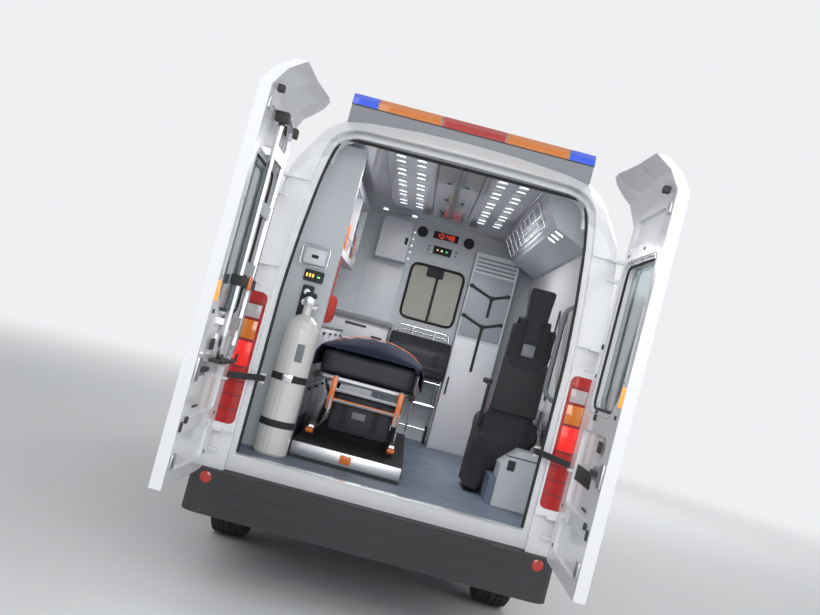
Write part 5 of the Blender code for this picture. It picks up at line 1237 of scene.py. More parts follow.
@dataclass
class RightSideKit:
    """Box latch, grab rail, wall panel and lamps at the load space's right."""

    # x and z of the lamps' middle on the locker's sloping underside
    spot: tuple[float, float] = (0.655, 2.3455)

    def build(self) -> None:
        """Make the fittings of the right side."""
        boxes("side_box_latch", [(0.700, 0.745, tail(0.690), tail(0.702), 0.905, 0.965)], DARK, bevel=0.004)
        boxes("side_box_lid_gap", [(0.680, 0.880, tail(0.696), tail(0.7005), 0.985, 0.991)], RUBBER, bevel=0.0008)
        rail = [(0.872, tail(0.62), 1.36), (0.790, tail(0.62), 1.40), (0.790, tail(0.62), 1.90),
                (0.845, tail(0.62), 1.94)]
        tubes("rear_grab_rail", [soften(rail, 0.05)], 0.014, GREY)
        rods = ((0.507, 2.518), (0.543, 2.455), (0.579, 2.392))
        guard = [[(x, tail(d), z) for d in (0.90, 2.92)] for x, z in rods]
        guard += [[(0.503, tail(d), 2.526), (0.582, tail(d), 2.387)] for d in (0.90 + 0.2525 * k for k in range(9))]
        tubes("locker_guard", guard, 0.0055, CHROME)
        (spot_x, spot_z), radius, fall = self.spot, 0.026, 0.444
        bm = bmesh.new()
        for d in (0.72, 0.88, 1.04):
            ring = [(spot_x + radius * math.cos(a), tail(d) + radius * math.sin(a)) for a in circle(20)]
            add_prism(bm, [(x, y, spot_z - (x - spot_x) * fall) for x, y in ring], (-0.002, 0, -0.005), 0.001)
        piece("locker_spots", bm, WHITE_LIGHT)
        boxes("wall_pads", [(0.868, 0.880, tail(start), tail(start + 0.50), 1.16, 1.28) for start in (0.98, 1.52)],
              GREY, bevel=0.005)
        boxes("attendant_seat_shell", [(0.545, 0.835, tail(0.990), tail(1.008), 1.22, 1.56)], DARK, bevel=0.008)
        arm = [(0.492, 0.525, tail(1.10), tail(1.44), 1.36, 1.395),
               (0.498, 0.518, tail(1.08), tail(1.12), 1.10, 1.37)]
        boxes("attendant_seat_arm", arm, DARK, bevel=0.010)
        # aside, y ahead of the rear face and height
        route = ((0, 0.952, 1.62), (0, 0.935, 1.80), (0, 0.99, 1.832), (0, 1.08, 1.80), (-0.02, 1.16, 1.35))
        bm = bmesh.new()
        for x in (0.60, 0.76):
            path = [(x + aside, tail(d), z) for aside, d, z in route]
            add_ribbon(bm, [Vector(point) for point in soften(path, 0.05)], (0, 0, 1), (0.020, 0, 0), 0.003)
        piece("attendant_belts", bm, WEBBING, crease=60.0)
        boxes("attendant_belt_reel", [(0.64, 0.72, tail(0.955), tail(0.975), 1.585, 1.665)], GREY, bevel=0.008)
        belts = [(0.868, 0.875, tail(1.06), tail(1.11), 1.35, 1.95),
                 (0.868, 0.875, tail(1.38), tail(1.43), 1.35, 1.95)]
        boxes("wall_belts", belts, WEBBING, bevel=0.001)


@dataclass
class TailLamps:
    """Segments, trims and reflectors of the rear lamps and bumper."""

    bars: tuple[float, ...] = (0.905, 0.98, 1.055, 1.132, 1.277, 1.392, 1.478)
    # name, finish, how far proud, lower and upper height
    parts: tuple[tuple[str, Look, float, float, float], ...] = (
        ("lit", RED_GLOW, 0.003, 1.14, 1.27), ("indicator", AMBER, 0.002, 1.285, 1.385),
        ("reverse", CLEAR_LENS, 0.002, 1.400, 1.470),
    )

    def build(self) -> None:
        """Make both lamps' details and the bumper's reflectors."""
        y = tail(0.004)
        for side, name in SIDES:
            x0, x1 = side * 0.838, side * 0.925
            for part, finish, proud, z0, z1 in self.parts:
                boxes(f"tail_lamp_{part}_{name}", [(x0, x1, y - proud, y + 0.004, z0, z1)], finish, bevel=0.003)
            bars = [(side * 0.832, side * 0.930, y - 0.0025, y + 0.002, z, z + 0.004) for z in self.bars]
            boxes(f"tail_lamp_bars_{name}", bars, DARK, bevel=0.001)
            reflector = [(0.030, -0.004), (0.030, 0.002), (0.026, 0.004), (0, 0.005)]
            place = (side * 0.88, tail(-0.070), 0.550)
            turned(f"bumper_reflector_{name}", [(place, (0, -1, 0), reflector, 28)], RED_LENS)
        ribs = [(x, x + 0.018, tail(-0.058), tail(-0.014), 0.593, 0.596)
                for x in (-0.60 + 0.030 * k for k in range(41))]
        boxes("step_tread_ribs", ribs, DARK, bevel=0.001)
        boxes("bumper_grooves", [(-0.80, 0.80, tail(-0.0715), tail(-0.068), z, z + 0.006) for z in (0.42, 0.50)],
              DARK, bevel=0.001)


@dataclass
class LightBars:
    """Coloured modules of the rear light bar."""

    depths: tuple[float, float] = (0.309, 0.471)
    low: float = 2.700
    high: float = 2.766
    cut: float = 0.03
    rib_pitch: float = 0.018
    # name, ends of each module along x, and finish
    modules: tuple[tuple[str, tuple[tuple[float, float], ...], Finish], ...] = (
        ("blue", ((-0.702, -0.556), (0.556, 0.702)), BLUE_LENS),
        ("amber", ((-0.548, -0.190), (0.190, 0.548)), AMBER),
        ("red", ((-0.182, 0.182),), RED_LENS),
    )

    def build(self) -> None:
        """Make the modules, their dividers and the lenses' ribs."""
        (d0, d1), low, high, cut = self.depths, self.low, self.high, self.cut
        section = [(d0, low), (d0, high - cut), (d0 + cut, high), (d1 - cut, high), (d1, high - cut), (d1, low)]
        for name, spans, finish in self.modules:
            bm, ribs = bmesh.new(), []
            for x0, x1 in spans:
                add_prism(bm, [(x0, tail(d), z) for d, z in section], (x1 - x0, 0, 0), 0.002)
                for k in range(1, round((x1 - x0) / self.rib_pitch)):
                    x = x0 + self.rib_pitch * k
                    ribs.append((x, x + 0.003, tail(d0 - 0.0012), tail(d0 + 0.004), low + 0.004, high - 0.034))
            piece(f"rear_bar_modules_{name}", bm, finish)
            boxes(f"rear_bar_ribs_{name}", ribs, finish, bevel=0.0006)
        seam = [(-0.702, 0.702, tail(d0 - 0.0012), tail(d0 + 0.004), low - 0.005, low + 0.001)]
        boxes("rear_bar_seam", seam, DARK, bevel=0.001)


@dataclass
class StretcherDressing:
    """Belts, orange parts, wheels and levers of the stretcher and its platform."""

    def build(self) -> None:
        """Make what the plain frame doesn't hold."""
        boxes("foot_posts", [(x - 0.017, x + 0.017, tail(0.597), tail(0.623), 0.99, 1.185) for x in (-0.41, -0.01)],
              ORANGE, bevel=0.005)
        boxes("foot_bar", [(-0.395, -0.025, tail(0.600), tail(0.620), 1.040, 1.062)], ORANGE, bevel=0.006)
        boxes("platform_edge", [(-0.552, 0.097, tail(0.498), tail(0.506), 0.700, 0.776)], ALUMINIUM, bevel=0.003)
        boxes("platform_catch", [(-0.262, -0.198, tail(0.490), tail(0.507), 0.715, 0.765)], ORANGE, bevel=0.004)
        grips = [[(x, tail(0.612), 1.17), (x, tail(0.70), 1.17)] for x in (-0.53, 0.05)]
        tubes("foot_grips", grips, 0.0205, RUBBER)
        hub = [(0.018, 0), (0.018, 0.044)]
        places = [(x - 0.022, tail(d), 0.832) for x in (-0.49, 0.01) for d in (0.72, 2.30)]
        turned("castor_hubs", [(place, (1, 0, 0), hub, 18) for place in places], ORANGE)
        bag = boxes("under_stretcher_bag", [(-0.400, -0.030, tail(0.665), tail(0.900), 0.862, 1.100)], CARRY_CLOTH,
                    bevel=0.035)
        boxes("bag_belts", [(x, x + 0.035, tail(0.661), tail(0.6665), 0.90, 1.075) for x in (-0.33, -0.14)],
              WEBBING, bevel=0.001)
        boxes("bag_label_blank", [(-0.265, -0.185, tail(0.6615), tail(0.6665), 0.965, 1.005)], GREY, bevel=0.002)
        legs = [[(x, tail(0.70), 1.115), (x, tail(2.35), 0.86)] for x in (-0.455, -0.025)]
        legs += [[(x, tail(2.35), 1.115), (x, tail(0.95), 0.86)] for x in (-0.470, -0.010)]
        tubes("folded_legs", legs, 0.012, CHASSIS_BLACK)


@dataclass
class SoftPieces:
    """Mattress, blanket and seats: plain solids blown up into soft forms."""

    seats: tuple[str, ...] = ("attendant_seat", "driver_seat", "passenger_seat")
    frames: int = 16
    blanket_length: float = 1.45
    # x and z of the blanket's section, from its left hem to its right one
    blanket_profile: tuple[tuple[float, float], ...] = (
        (-0.572, 1.215), (-0.568, 1.300), (-0.545, 1.343), (-0.24, 1.346), (0.065, 1.343), (0.088, 1.300),
        (0.092, 1.215),
    )
    blanket_steps: tuple[int, int] = (72, 120)

    def soft(self, node: str, name: str, voxel: float, finish: Look, shrink: float, cap: float) -> bpy.types.Object:
        """Replace a plain solid by a soft one of the same place.

        Args:
            node: the solid's node.
            name: the new object's name.
            voxel: the mesh size.
            finish: its finish.
            shrink: how much smaller it starts.
            cap: how far a point may move.

        Returns:
            The soft object.
        """
        source = frame["nodes"][node]
        mesh = source.data.copy()
        mesh.transform(source.matrix_world)
        item = bpy.data.objects.new(name, mesh)
        bpy.context.scene.collection.objects.link(item)
        start = [vert.co.copy() for vert in mesh.vertices]
        normals = [vert.normal.copy() for vert in mesh.vertices]
        for vert, place, normal in zip(mesh.vertices, start, normals):
            vert.co = place - shrink * normal
        remesh = item.modifiers.new("remesh", "REMESH")
        remesh.mode = "VOXEL"
        remesh.voxel_size = voxel
        self.apply(item)
        before = [vert.co.copy() for vert in item.data.vertices]
        cloth = item.modifiers.new("cloth", "CLOTH")
        cloth.settings.use_pressure = True
        cloth.settings.uniform_pressure_force = 4.0
        cloth.settings.quality = 4
        cloth.settings.tension_stiffness = 12.0
        cloth.settings.bending_stiffness = 0.6
        cloth.settings.effector_weights.gravity = 0.0
        cloth.point_cache.frame_end = self.frames
        scene = bpy.context.scene
        for number in range(1, self.frames + 1):
            scene.frame_set(number)
        self.apply(item)
        scene.frame_set(1)
        for vert, place in zip(item.data.vertices, before):
            moved = vert.co - place
            if moved.length > cap:
                vert.co = place + moved * (cap / moved.length)
        smooth = item.modifiers.new("smooth", "SMOOTH")
        smooth.factor = 0.5
        smooth.iterations = 22 if "seat" in node else 6
        self.apply(item)
        item.data.shade_smooth()
        wear(item, finish)
        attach(item, "body")
        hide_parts(node)
        return item

    def apply(self, item: bpy.types.Object) -> None:
        """Turn an object's modifiers into its mesh."""
        graph = bpy.context.evaluated_depsgraph_get()
        made = bpy.data.meshes.new_from_object(item.evaluated_get(graph))
        item.modifiers.clear()
        item.data = made

    def blanket_place(self, across: float, along: float) -> Point:
        """Return a point of the blanket.

        Args:
            across: from 0 at the left hem to 1 at the right one.
            along: from 0 at the foot to 1 at the head.

        Returns:
            Its place, on the mattress or over its side.
        """
        profile = self.blanket_profile
        lengths = [0.0]
        for (x0, z0), (x1, z1) in zip(profile, profile[1:]):
            lengths.append(lengths[-1] + math.hypot(x1 - x0, z1 - z0))
        reach = lengths[-1] * across
        part = max(index for index, value in enumerate(lengths[:-1]) if value <= reach + 1e-9)
        share = (reach - lengths[part]) / (lengths[part + 1] - lengths[part])
        (x0, z0), (x1, z1) = profile[part], profile[part + 1]
        x, z = x0 + share * (x1 - x0), z0 + share * (z1 - z0)
        y = tail(0.665 + self.blanket_length * along)
        middle = math.sin(math.pi * min(max((x + 0.545) / 0.61, 0.0), 1.0))
        mound = 0.085 * math.sin(math.pi * along ** 0.55) ** 0.6 * middle ** 0.7 if 0 < along < 1 else 0.0
        folds = noise.noise(Vector((x * 5.0, y * 2.2, 1.7))) + 0.6 * noise.noise(Vector((x * 13.0, y * 5.0, 4.1)))
        crease = 0.016 * (folds + 0.8) * middle ** 0.5 * min(1.0, 12 * along, 12 * (1 - along))
        sway = 0.004 * math.sin(40 * y) * (1 - middle) * (1 if x > -0.24 else -1)
        return (x + sway, y, z + mound + crease)

    def blanket(self) -> None:
        """Lay a rumpled blanket on the mattress and let its sides hang."""
        wide, long = self.blanket_steps
        bm = bmesh.new()
        grid = [[bm.verts.new(self.blanket_place(column / wide, row / long)) for column in range(wide + 1)]
                for row in range(long + 1)]
        for near, far in zip(grid, grid[1:]):
            for column in range(wide):
                bm.faces.new((near[column], near[column + 1], far[column + 1], far[column]))
        area = sum(face.calc_area() for face in bm.faces)
        item = piece("blanket", bm, BLANKET, crease=80.0)
        thick = item.modifiers.new("thickness", "SOLIDIFY")
        thick.thickness = 0.004
        thick.offset = 1.0
        self.apply(item)
        item.data.shade_smooth()

    def belts(self) -> None:
        """Lay two belts with buckles over the blanket."""
        bm = bmesh.new()
        buckles = []
        for along in (0.30, 0.74):
            shares = [0.03 + 0.94 * k / 40 for k in range(41)]
            line = [Vector(self.blanket_place(share, along)) + Vector((0, 0, 0.006)) for share in shares]
            for _ in range(3):
                line = [line[0]] + [(a + b + c) / 3 for a, b, c in zip(line, line[1:], line[2:])] + [line[-1]]
            line = [point + Vector((0, 0, 0.006)) for point in line]
            add_ribbon(bm, line, (0, 0, 1), (0, 0.024, 0), 0.003)
            top = max(line, key=lambda point: point.z)
            buckles.append((top.x - 0.035, top.x + 0.035, top.y - 0.030, top.y + 0.030, top.z, top.z + 0.014))
        piece("stretcher_belts", bm, ORANGE, crease=60.0)
        boxes("stretcher_buckles", buckles, DARK, bevel=0.006)

    def build(self) -> None:
        """Make every soft piece."""
        self.soft("stretcher_mattress", "mattress", 0.016, FINISHES[Slot.MATTRESS], 0.006, 0.012)
        for node in self.seats:
            self.soft(node, f"{node}_padding", 0.013, FINISHES[Slot.SEAT], 0.010, 0.022)
        self.blanket()
        self.belts()


def touch(start: Sequence[float], way: Sequence[float]) -> Vector:
    """Return where a line from a start along a way first meets the model.

    Args:
        start: the line's start.
        way: its direction.

    Returns:
        The place, or the start where nothing is met.
    """
    graph = bpy.context.evaluated_depsgraph_get()
    hit, place, *_ = bpy.context.scene.ray_cast(graph, Vector(start), Vector(way).normalized())
    return place if hit else Vector(start)


def add_ribbon(
    bm: bmesh.types.BMesh, line: Sequence[Vector], out: Sequence[float], wide: Sequence[float], proud: float
) -> None:
    """Add a flat strip that lies on a line of surface points.

    Args:
        bm: the mesh to add to.
        line: the points of its middle.
        out: the way it stands proud.
        wide: half its width, as a vector.
        proud: how far it stands proud.
    """
    out, wide = Vector(out), Vector(wide)
    rings = []
    for point in line:
        corners = (point - wide - out * 0.003, point - wide + out * proud * 0.6, point - wide * 0.8 + out * proud,
                   point + wide * 0.8 + out * proud, point + wide + out * proud * 0.6, point + wide - out * 0.003)
        rings.append([bm.verts.new(corner) for corner in corners])
    for near, far in zip(rings, rings[1:]):
        for step in range(6):
            bm.faces.new((near[step], near[(step + 1) % 6], far[(step + 1) % 6], far[step]))
    bm.faces.new(rings[0])
    bm.faces.new(list(reversed(rings[-1])))


@dataclass
class Wheel:
    """Tread, sidewall, nuts and cap of one road wheel."""

    row: str
    name: str
    side: int
    centre_y: float
    centre_x: float = 0.855
    radius: float = 0.3555
    pitches: int = 56
    groove: float = 0.008
    # the start and end across the tread of each land
    lands: tuple[tuple[float, float], ...] = (
        (-0.098, -0.060), (-0.051, -0.027), (-0.018, 0.018), (0.027, 0.051), (0.060, 0.098),
    )
    # place across and radius
    sidewall: tuple[tuple[float, float], ...] = (
        (0.094, 0.2060), (0.1085, 0.2140), (0.1130, 0.2300), (0.1165, 0.2550), (0.1172, 0.2800), (0.1150, 0.3080),
        (0.1100, 0.3320),
    )
    # share of a pitch and how far the outer lands are cut down there
    steps: tuple[tuple[float, float], ...] = ((0.0, 0.0), (0.72, 0.0), (0.77, 0.006), (0.95, 0.006))

    @property
    def body(self) -> str:
        """The body that this wheel's pieces ride on."""
        return f"wheel_{self.row}_{self.name}"

    def place(self, out: float, radius: float, turn: float) -> Point:
        """Return a point from its distance out of the wheel's middle, its radius and its angle."""
        y, z = self.centre_y + radius * math.cos(turn), self.radius + radius * math.sin(turn)
        return (self.side * (self.centre_x + out), y, z)

    def profile(self, lowered: float) -> list[tuple[float, float]]:
        """Return the tyre's section, its outer lands lowered.

        Args:
            lowered: how far the blocks of the outer lands are cut down.

        Returns:
            Pairs of place across and radius.
        """
        made = [(-x, r) for x, r in self.sidewall]
        for index, (start, end) in enumerate(self.lands):
            cut = 0.0 if index == 2 else lowered
            for x in (start, end):
                made.append((x, self.radius - 0.45 * x * x * abs(x) / 0.1 - cut))
            if index < 4:
                gap = self.lands[index + 1][0]
                floor = self.radius - self.groove
                made += [(end + 0.002, floor), (gap - 0.002, floor)]
        return made + list(reversed(self.sidewall))

    def tyre(self) -> None:
        """Make the tyre with its tread blocks, in place of the plain one."""
        bm = bmesh.new()
        rings = []
        for pitch in range(self.pitches):
            for share, lowered in self.steps:
                turn = 2 * math.pi * (pitch + share) / self.pitches
                rings.append([bm.verts.new(self.place(x, r, turn)) for x, r in self.profile(lowered)])
        for index, near in enumerate(rings):
            far = rings[(index + 1) % len(rings)]
            for step in range(len(near) - 1):
                bm.faces.new((near[step], near[step + 1], far[step + 1], far[step]))
            bm.faces.new((near[-1], near[0], far[0], far[-1]))
        tyre = piece(f"treaded_tyre_{self.row}_{self.name}", bm, TYRE_RUBBER, self.body, 28.0)
        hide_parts(f"tyre_{self.row}_{self.name}")

    def hub(self) -> None:
        """Make the nuts, the centre cap and the vents."""
        out, mark = (self.side, 0, 0), f"{self.row}_{self.name}"
        nut = [(0.0125, 0), (0.0125, 0.016), (0.009, 0.020), (0, 0.020)]
        nuts = [(self.place(0.055, 0.085, turn), out, nut, 6) for turn in circle(6)]
        turned(f"wheel_nuts_{mark}", nuts, CHROME, self.body)
        cap = [(0.048, 0), (0.048, 0.012), (0.040, 0.022), (0.020, 0.026), (0, 0.027)]
        turned(f"wheel_cap_{mark}", [(self.place(0.046, 0.0, 0.0), out, cap, 30)], GREY, self.body)
        bm = bmesh.new()
        for turn in circle(10, 0.5):
            across = Vector((0, -math.sin(turn), math.cos(turn)))
            inward = Vector((0, math.cos(turn), math.sin(turn)))
            middle = Vector(self.place(0.0715, 0.0, 0.0)) + 0.152 * inward
            corners = [middle + 0.023 * a * across + 0.012 * b * inward - Vector((self.side * 0.0075 * b, 0, 0))
                       for a, b in ((-1, -0.6), (-0.6, -1), (0.6, -1), (1, -0.6), (1, 0.6), (0.6, 1), (-0.6, 1),
                                    (-1, 0.6))]
            add_prism(bm, [tuple(corner) for corner in corners], (self.side * 0.004, 0, 0))
        piece(f"wheel_vents_{mark}", bm, RUBBER, self.body)

    def build(self) -> None:
        """Make everything on this wheel."""
        self.tyre()
        self.hub()


@dataclass
class SideTrim:
    """Mouldings, handles, markers, rails and mirrors along both sides."""

    def strip(
        self, name: str, side: int, span: tuple[float, float], z: float, half: float, proud: float, finish: Look,
        body: str = "body",
    ) -> None:
        """Lay one strip along the side.

        Args:
            name: its name.
            side: -1 for left and 1 for right.
            span: its start and end y.
            z: its height.
            half: half its width.
            proud: how far it stands proud.
            finish: its finish.
            body: the body it rides on.
        """
        steps = max(2, round(abs(span[1] - span[0]) / 0.06))
        places = [span[0] + (span[1] - span[0]) * step / steps for step in range(steps + 1)]
        line = [touch((side * BESIDE_X, y, z), (-side, 0, 0)) for y in places]
        bm = bmesh.new()
        add_ribbon(bm, line, (side, 0, 0), (0, 0, half), proud)
        piece(name, bm, finish, body)

    def build(self) -> None:
        """Make the trim of both sides."""
        for side, name in SIDES:
            door = f"cab_door_{name}"
            gaps = ((1.24, 1.00), (0.93, -0.26), (-0.33, -0.74)) if side > 0 else ((1.24, -0.74),)
            mouldings = [(f"side_moulding_{name}_{index}", span, 0.70, 0.045, 0.014, DARK, "body")
                         for index, span in enumerate(gaps)]
            # name, start and end y, height, half width, how far proud, finish and body
            rows = [(f"door_moulding_{name}", (1.52, 2.26), 0.70, 0.045, 0.014, DARK, door)] + mouldings + [
                (f"rear_moulding_{name}", (-1.72, -2.13), 0.70, 0.045, 0.014, DARK, "body"),
                (f"door_handle_plate_{name}", (1.50, 1.66), 1.10, 0.022, 0.006, DARK, door),
                (f"door_handle_{name}", (1.51, 1.65), 1.112, 0.010, 0.030, DARK, door),
                (f"side_marker_front_{name}", (2.93, 2.99), 0.76, 0.016, 0.008, AMBER, "body"),
                (f"side_marker_rear_{name}", (-0.60, -0.54), 0.80, 0.014, 0.008, AMBER, "body"),
            ]
            for strip_name, *row in rows:
                self.strip(strip_name, side, *row)
            bm = bmesh.new()
            for y in (0.60, -0.10, -1.30):
                line = [touch((side * BESIDE_X, y - 0.09 + 0.03 * k, 2.26), (-side, 0, 0)) for k in range(7)]
                add_ribbon(bm, line, (side, 0, 0), (0, 0, 0.030), 0.022)
            piece(f"side_flashers_{name}", bm, BLUE_LENS)
            self.mirror(side, name)
        self.strip("sliding_rail", 1, (-0.34, -1.86), 1.06, 0.018, 0.010, DARK)
        self.strip("sliding_handle_plate", 1, (0.78, 0.92), 1.08, 0.022, 0.006, DARK)
        self.strip("sliding_handle", 1, (0.79, 0.91), 1.092, 0.010, 0.030, DARK)
        self.strip("filler_flap", -1, (1.12, 1.22), 0.90, 0.060, 0.002, PAINT)

    def mirror(self, side: int, name: str) -> None:
        """Fit the two panes and the repeater lamp of one mirror."""
        door, back = f"cab_door_{name}", 2.183
        x0, x1 = side * 1.045, side * 1.198
        panes = [(x0, x1, back - 0.004, back + 0.002, z0, z1) for z0, z1 in ((1.375, 1.632), (1.300, 1.362))]
        boxes(f"mirror_panes_{name}", panes, CHROME, door, 0.004)
        boxes(f"mirror_repeater_{name}", [(side * 1.10, side * 1.200, 2.288, 2.298, 1.46, 1.485)], AMBER, door,
              0.003)


@dataclass
class FrontEnd:
    """Grille bars, lamps, wipers, plate and intake of the nose."""

    bar_low: float = 2.600
    bar_high: float = 2.665

    def across(self, bm: bmesh.types.BMesh, span: tuple[float, float], z: float, half: float, proud: float) -> None:
        """Add one bar across the nose on its surface.

        Args:
            bm: the mesh to add to.
            span: its start and end x.
            z: its height.
            half: half its width.
            proud: how far it stands proud.
        """
        steps = max(4, round(abs(span[1] - span[0]) / 0.05))
        places = [span[0] + (span[1] - span[0]) * step / steps for step in range(steps + 1)]
        line = [touch((x, AHEAD_Y, z), (0, -1, 0)) for x in places]
        add_ribbon(bm, line, (0, 1, 0), (0, 0, half), proud)

    def grille(self) -> None:
        """Make the grille's bars and the bumper's intake."""
        bm = bmesh.new()
        for z in (0.690, 0.733, 0.776, 0.819, 0.862):
            self.across(bm, (-0.44, 0.44), z, 0.010, 0.008)
        piece("grille_bars", bm, CHROME)
        bm = bmesh.new()
        for z in (0.300, 0.335, 0.370, 0.405):
            self.across(bm, (-0.52, 0.52), z, 0.009, 0.006)
        for x0, x1 in ((-0.84, -0.66), (0.66, 0.84)):
            self.across(bm, (x0, x1), 0.50, 0.045, 0.003)
        piece("bumper_intake_bars", bm, RUBBER)
        boxes("front_plate_blank", [(-0.26, 0.26, 3.4425, 3.4460, 0.475, 0.585)], WHITE, bevel=0.003)

    def lamps(self) -> None:
        """Make the headlamps' reflector rings and the fog lamps."""
        rings, amber, fog = bmesh.new(), bmesh.new(), bmesh.new()
        for side, _ in SIDES:
            for x, z, radius in ((0.735, 0.83, 0.062), (0.615, 0.80, 0.048)):
                place = touch((side * x, AHEAD_Y, z), (0, -1, 0))
                ring = [(radius, -0.02), (radius, 0.003), (radius - 0.006, 0.004), (radius - 0.010, 0.001),
                        (0.4 * radius, 0.001), (0, 0.006)]
                add_turned(rings, place, (0, 1, 0), ring, 32)
            place = touch((side * 0.80, AHEAD_Y, 0.93), (0, -1, 0))
            add_turned(amber, place, (0, 1, 0), [(0.030, -0.03), (0.030, 0.002), (0.02, 0.004), (0, 0.005)], 24)
            place = touch((side * 0.75, AHEAD_Y, 0.50), (0, -1, 0))
            add_turned(fog, place, (0, 1, 0),
                       [(0.040, -0.02), (0.040, 0.006), (0.034, 0.008), (0.030, 0.004), (0, 0.006)], 28)
        piece("headlamp_rings", rings, CHROME)
        piece("front_indicators", amber, AMBER)
        piece("fog_lamps", fog, CLEAR_LENS)

    def wipers(self) -> None:
        """Lay two wipers on the foot of the windscreen."""
        for index, (start, end) in enumerate((((-0.55, 1.375), (0.02, 1.43)), ((0.05, 1.375), (0.60, 1.43)))):
            line = []
            for k in range(11):
                x, z = start[0] + (end[0] - start[0]) * k / 10, start[1] + (end[1] - start[1]) * k / 10
                line.append(touch((x, AHEAD_Y, z), (0, -1, 0)) + Vector((0, 0.010, 0.004)))
            tubes(f"wiper_arm_{index}", [[tuple(point) for point in line]], 0.006, DARK)
        for side, name in SIDES:
            seam = [touch((side * 0.30, 2.2 - 0.1 * k, ABOVE_Z), (0, 0, -1)) for k in range(20)]
            path = [tuple(point + Vector((0, 0, 0.001))) for point in seam]
            tubes(f"roof_seam_{name}", [path], 0.003, FINISHES[Slot.TRIM])

    def roof_lamps(self) -> None:
        """Make the front light bar's modules and the roof's small vent."""
        face = touch((0.30, AHEAD_Y, 2.66), (0, -1, 0)).y
        rows, ribs = [], []
        for side, _ in SIDES:
            for x0, x1 in ((0.33, 0.605), (0.04, 0.31)):
                rows.append((side * x0, side * x1, face - 0.012, face + 0.0015, self.bar_low, self.bar_high))
                ribs += [(side * x, side * (x + 0.003), face - 0.010, face + 0.003, self.bar_low, self.bar_high)
                         for x in (x0 + 0.02 * k for k in range(1, round((x1 - x0) / 0.02)))]
        boxes("front_bar_modules", rows, BLUE_LENS, bevel=0.003)
        boxes("front_bar_ribs", ribs, BLUE_LENS, bevel=0.0006)
        gaps = [(x, x + 0.012, face - 0.010, face + 0.002, self.bar_low - 0.004, self.bar_high + 0.004)
                for x in (-0.326, -0.006, 0.314)]
        boxes("front_bar_dividers", gaps, DARK, bevel=0.002)
        top = touch((0.0, 0.10, ABOVE_Z), (0, 0, -1)).z
        vent = [(0.16, 0), (0.155, 0.012), (0.12, 0.022), (0, 0.026)]
        turned("roof_vent", [((0.0, 0.10, top - 0.004), (0, 0, 1), vent, 40)], WHITE)

    def build(self) -> None:
        """Make everything on the nose and the roof."""
        self.grille()
        self.lamps()
        self.wipers()
        self.roof_lamps()


@dataclass
class CabDetails:
    """Instruments, vents and wheel hub of the cab."""

    # where rays towards the dashboard start, and the steering wheel's hub and lean
    behind: float = 1.4
    hub: Point = (-0.46, 1.94325, 1.22)
    column_lean: float = math.radians(50.0)

    def build(self) -> None:
        """Make the cab's details."""
        line = touch((0.0, self.behind, 1.15), (0, 1, 0)).y
        boxes("cab_screen", [(-0.10, 0.10, line - 0.012, line + 0.004, 1.10, 1.21)], RUBBER, bevel=0.004)
        keys = [(x, x + 0.028, line - 0.010, line + 0.004, 1.045, 1.075)
                for x in (-0.09 + 0.038 * k for k in range(5))]
        boxes("cab_radio_keys", keys, GREY, bevel=0.003)
        vent = [(0.042, -0.004), (0.042, 0.006), (0.034, 0.008), (0.030, 0.003), (0, 0.004)]
        dial = [(0.050, -0.004), (0.050, 0.004), (0.045, 0.004), (0.043, 0.001), (0, 0.001)]
        bm = bmesh.new()
        for profile, z, steps, places in ((vent, 1.15, 24, (-0.80, -0.17, 0.17, 0.80)),
                                          (dial, 1.235, 28, (-0.53, -0.39))):
            for x in places:
                add_turned(bm, touch((x, self.behind, z), (0, 1, 0)), (0, -1, 0), profile, steps)
        piece("cab_vents_and_dials", bm, DARK)
        pad = [(0.052, -0.004), (0.052, 0.012), (0.044, 0.020), (0, 0.024)]
        way = (0, -math.sin(self.column_lean), math.cos(self.column_lean))
        turned("wheel_pad", [(self.hub, way, pad, 30)], DARK, "steering_wheel")


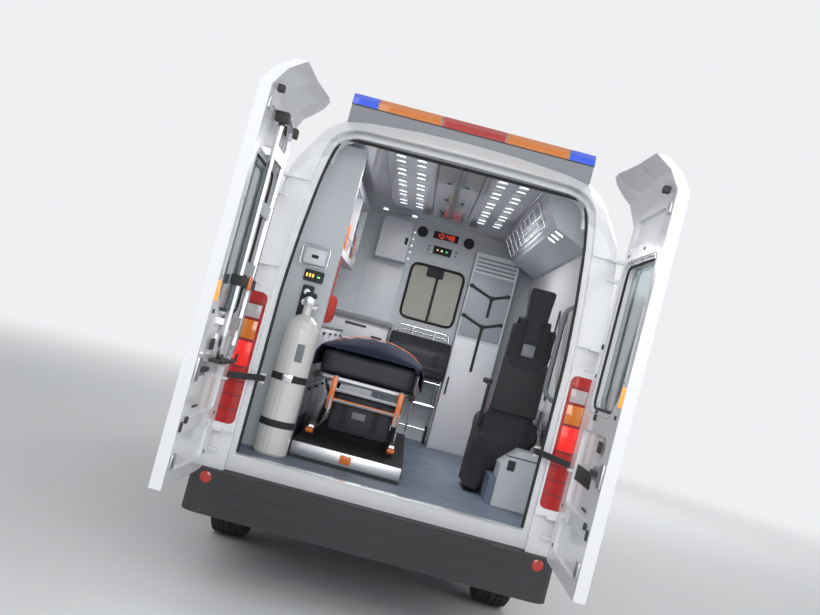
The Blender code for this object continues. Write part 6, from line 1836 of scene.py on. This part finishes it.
@dataclass
class Livery:
    """Plain warning bands along the sides, the cab doors and the rear doors' outer faces."""

    band: tuple[float, float] = (0.93, 1.13)
    red: Colour = (0.78, 0.045, 0.02)
    # how far from the middle a surface must be to wear the band
    least_reach: float = 0.90
    side_extra: float = 0.05
    frame_reach: float = 0.955
    door_face: float = 0.949
    nodes: tuple[str, ...] = (
        "side_left", "side_right", "sliding_door", "cab_door_left", "cab_door_right", "rear_frame", "front_body",
    )

    def build(self) -> None:
        """Band the side panels and put strips on the rear doors."""
        for node in self.nodes:
            item = frame["nodes"][node]
            made = PAINT.material().copy()
            made.name = f"banded_paint_{node}"
            tree, origin = made.node_tree, item.matrix_world.translation
            paint = next(entry for entry in tree.nodes if entry.type == "GROUP")
            reach = self.least_reach + self.side_extra * ("side" in node)
            if node == "rear_frame":
                reach = self.frame_reach
            band = add_node(tree, "Group", {
                "Base": paint.outputs["Color"], "Band": (*self.red, 1.0), "Low": self.band[0] - origin.z,
                "High": self.band[1] - origin.z, "Origin X": origin.x, "Reach": reach,
            }, node_tree=band_group())
            join(tree, band.outputs["Color"], tree.nodes["Principled BSDF"].inputs["Base Color"])
            item.data.materials.clear()
            item.data.materials.append(made)
        red = Finish("warning_band", self.red, (0.55, 0.04, 0.02), 0.25, 0.25, 0.1, coat=0.5)
        for side, name in SIDES:
            x = side * self.door_face
            row = (x, x + side * 0.0006, -2.66, -3.425, *self.band)
            boxes(f"door_band_{name}", [row], red, f"rear_door_{name}", 0.0002)
        plate = (-self.door_face, -0.9525, -3.28, -2.80, 0.74, 0.85)
        boxes("rear_plate_blank", [plate], WHITE, "rear_door_left", 0.001)


def main() -> None:
    """Build the studio and dress each sub-assembly in order."""
    logging.basicConfig(level=logging.INFO, format="%(name)s: %(message)s")
    special = {"ceiling_panel": CEILING, "rear_light_bar": GREY, "stretcher_platform": DARK,
               "bulkhead_glass": CAB_PANE}
    steps: list[tuple[str, Callable[[], None]]] = [
        ("studio", Studio().build),
        ("frame dressing", FrameDressing(special).build),
        ("rear aperture", RearAperture().build),
        *((f"{name} rear door", RearDoorFittings(side, name).build) for side, name in SIDES),
        ("ceiling", LoadCeiling().build),
        ("bulkhead", BulkheadFittings().build),
        ("left wall", WallEquipment().build),
        ("oxygen cylinder", CylinderFittings().build),
        ("carry chair", CarryChair().build),
        ("right side", RightSideKit().build),
        ("tail lamps", TailLamps().build),
        ("light bars", LightBars().build),
        ("stretcher", StretcherDressing().build),
        ("side trim", SideTrim().build),
        ("front end", FrontEnd().build),
        ("cab", CabDetails().build),
        ("livery", Livery().build),
        *((f"{row} {name} wheel", Wheel(row, name, side, y).build) for row, y in AXLES for side, name in SIDES),
        ("soft pieces", SoftPieces().build),
    ]
    for name, build in steps:
        build()
        LOG.info("built %s", name)


if __name__ == "__main__":
    main()
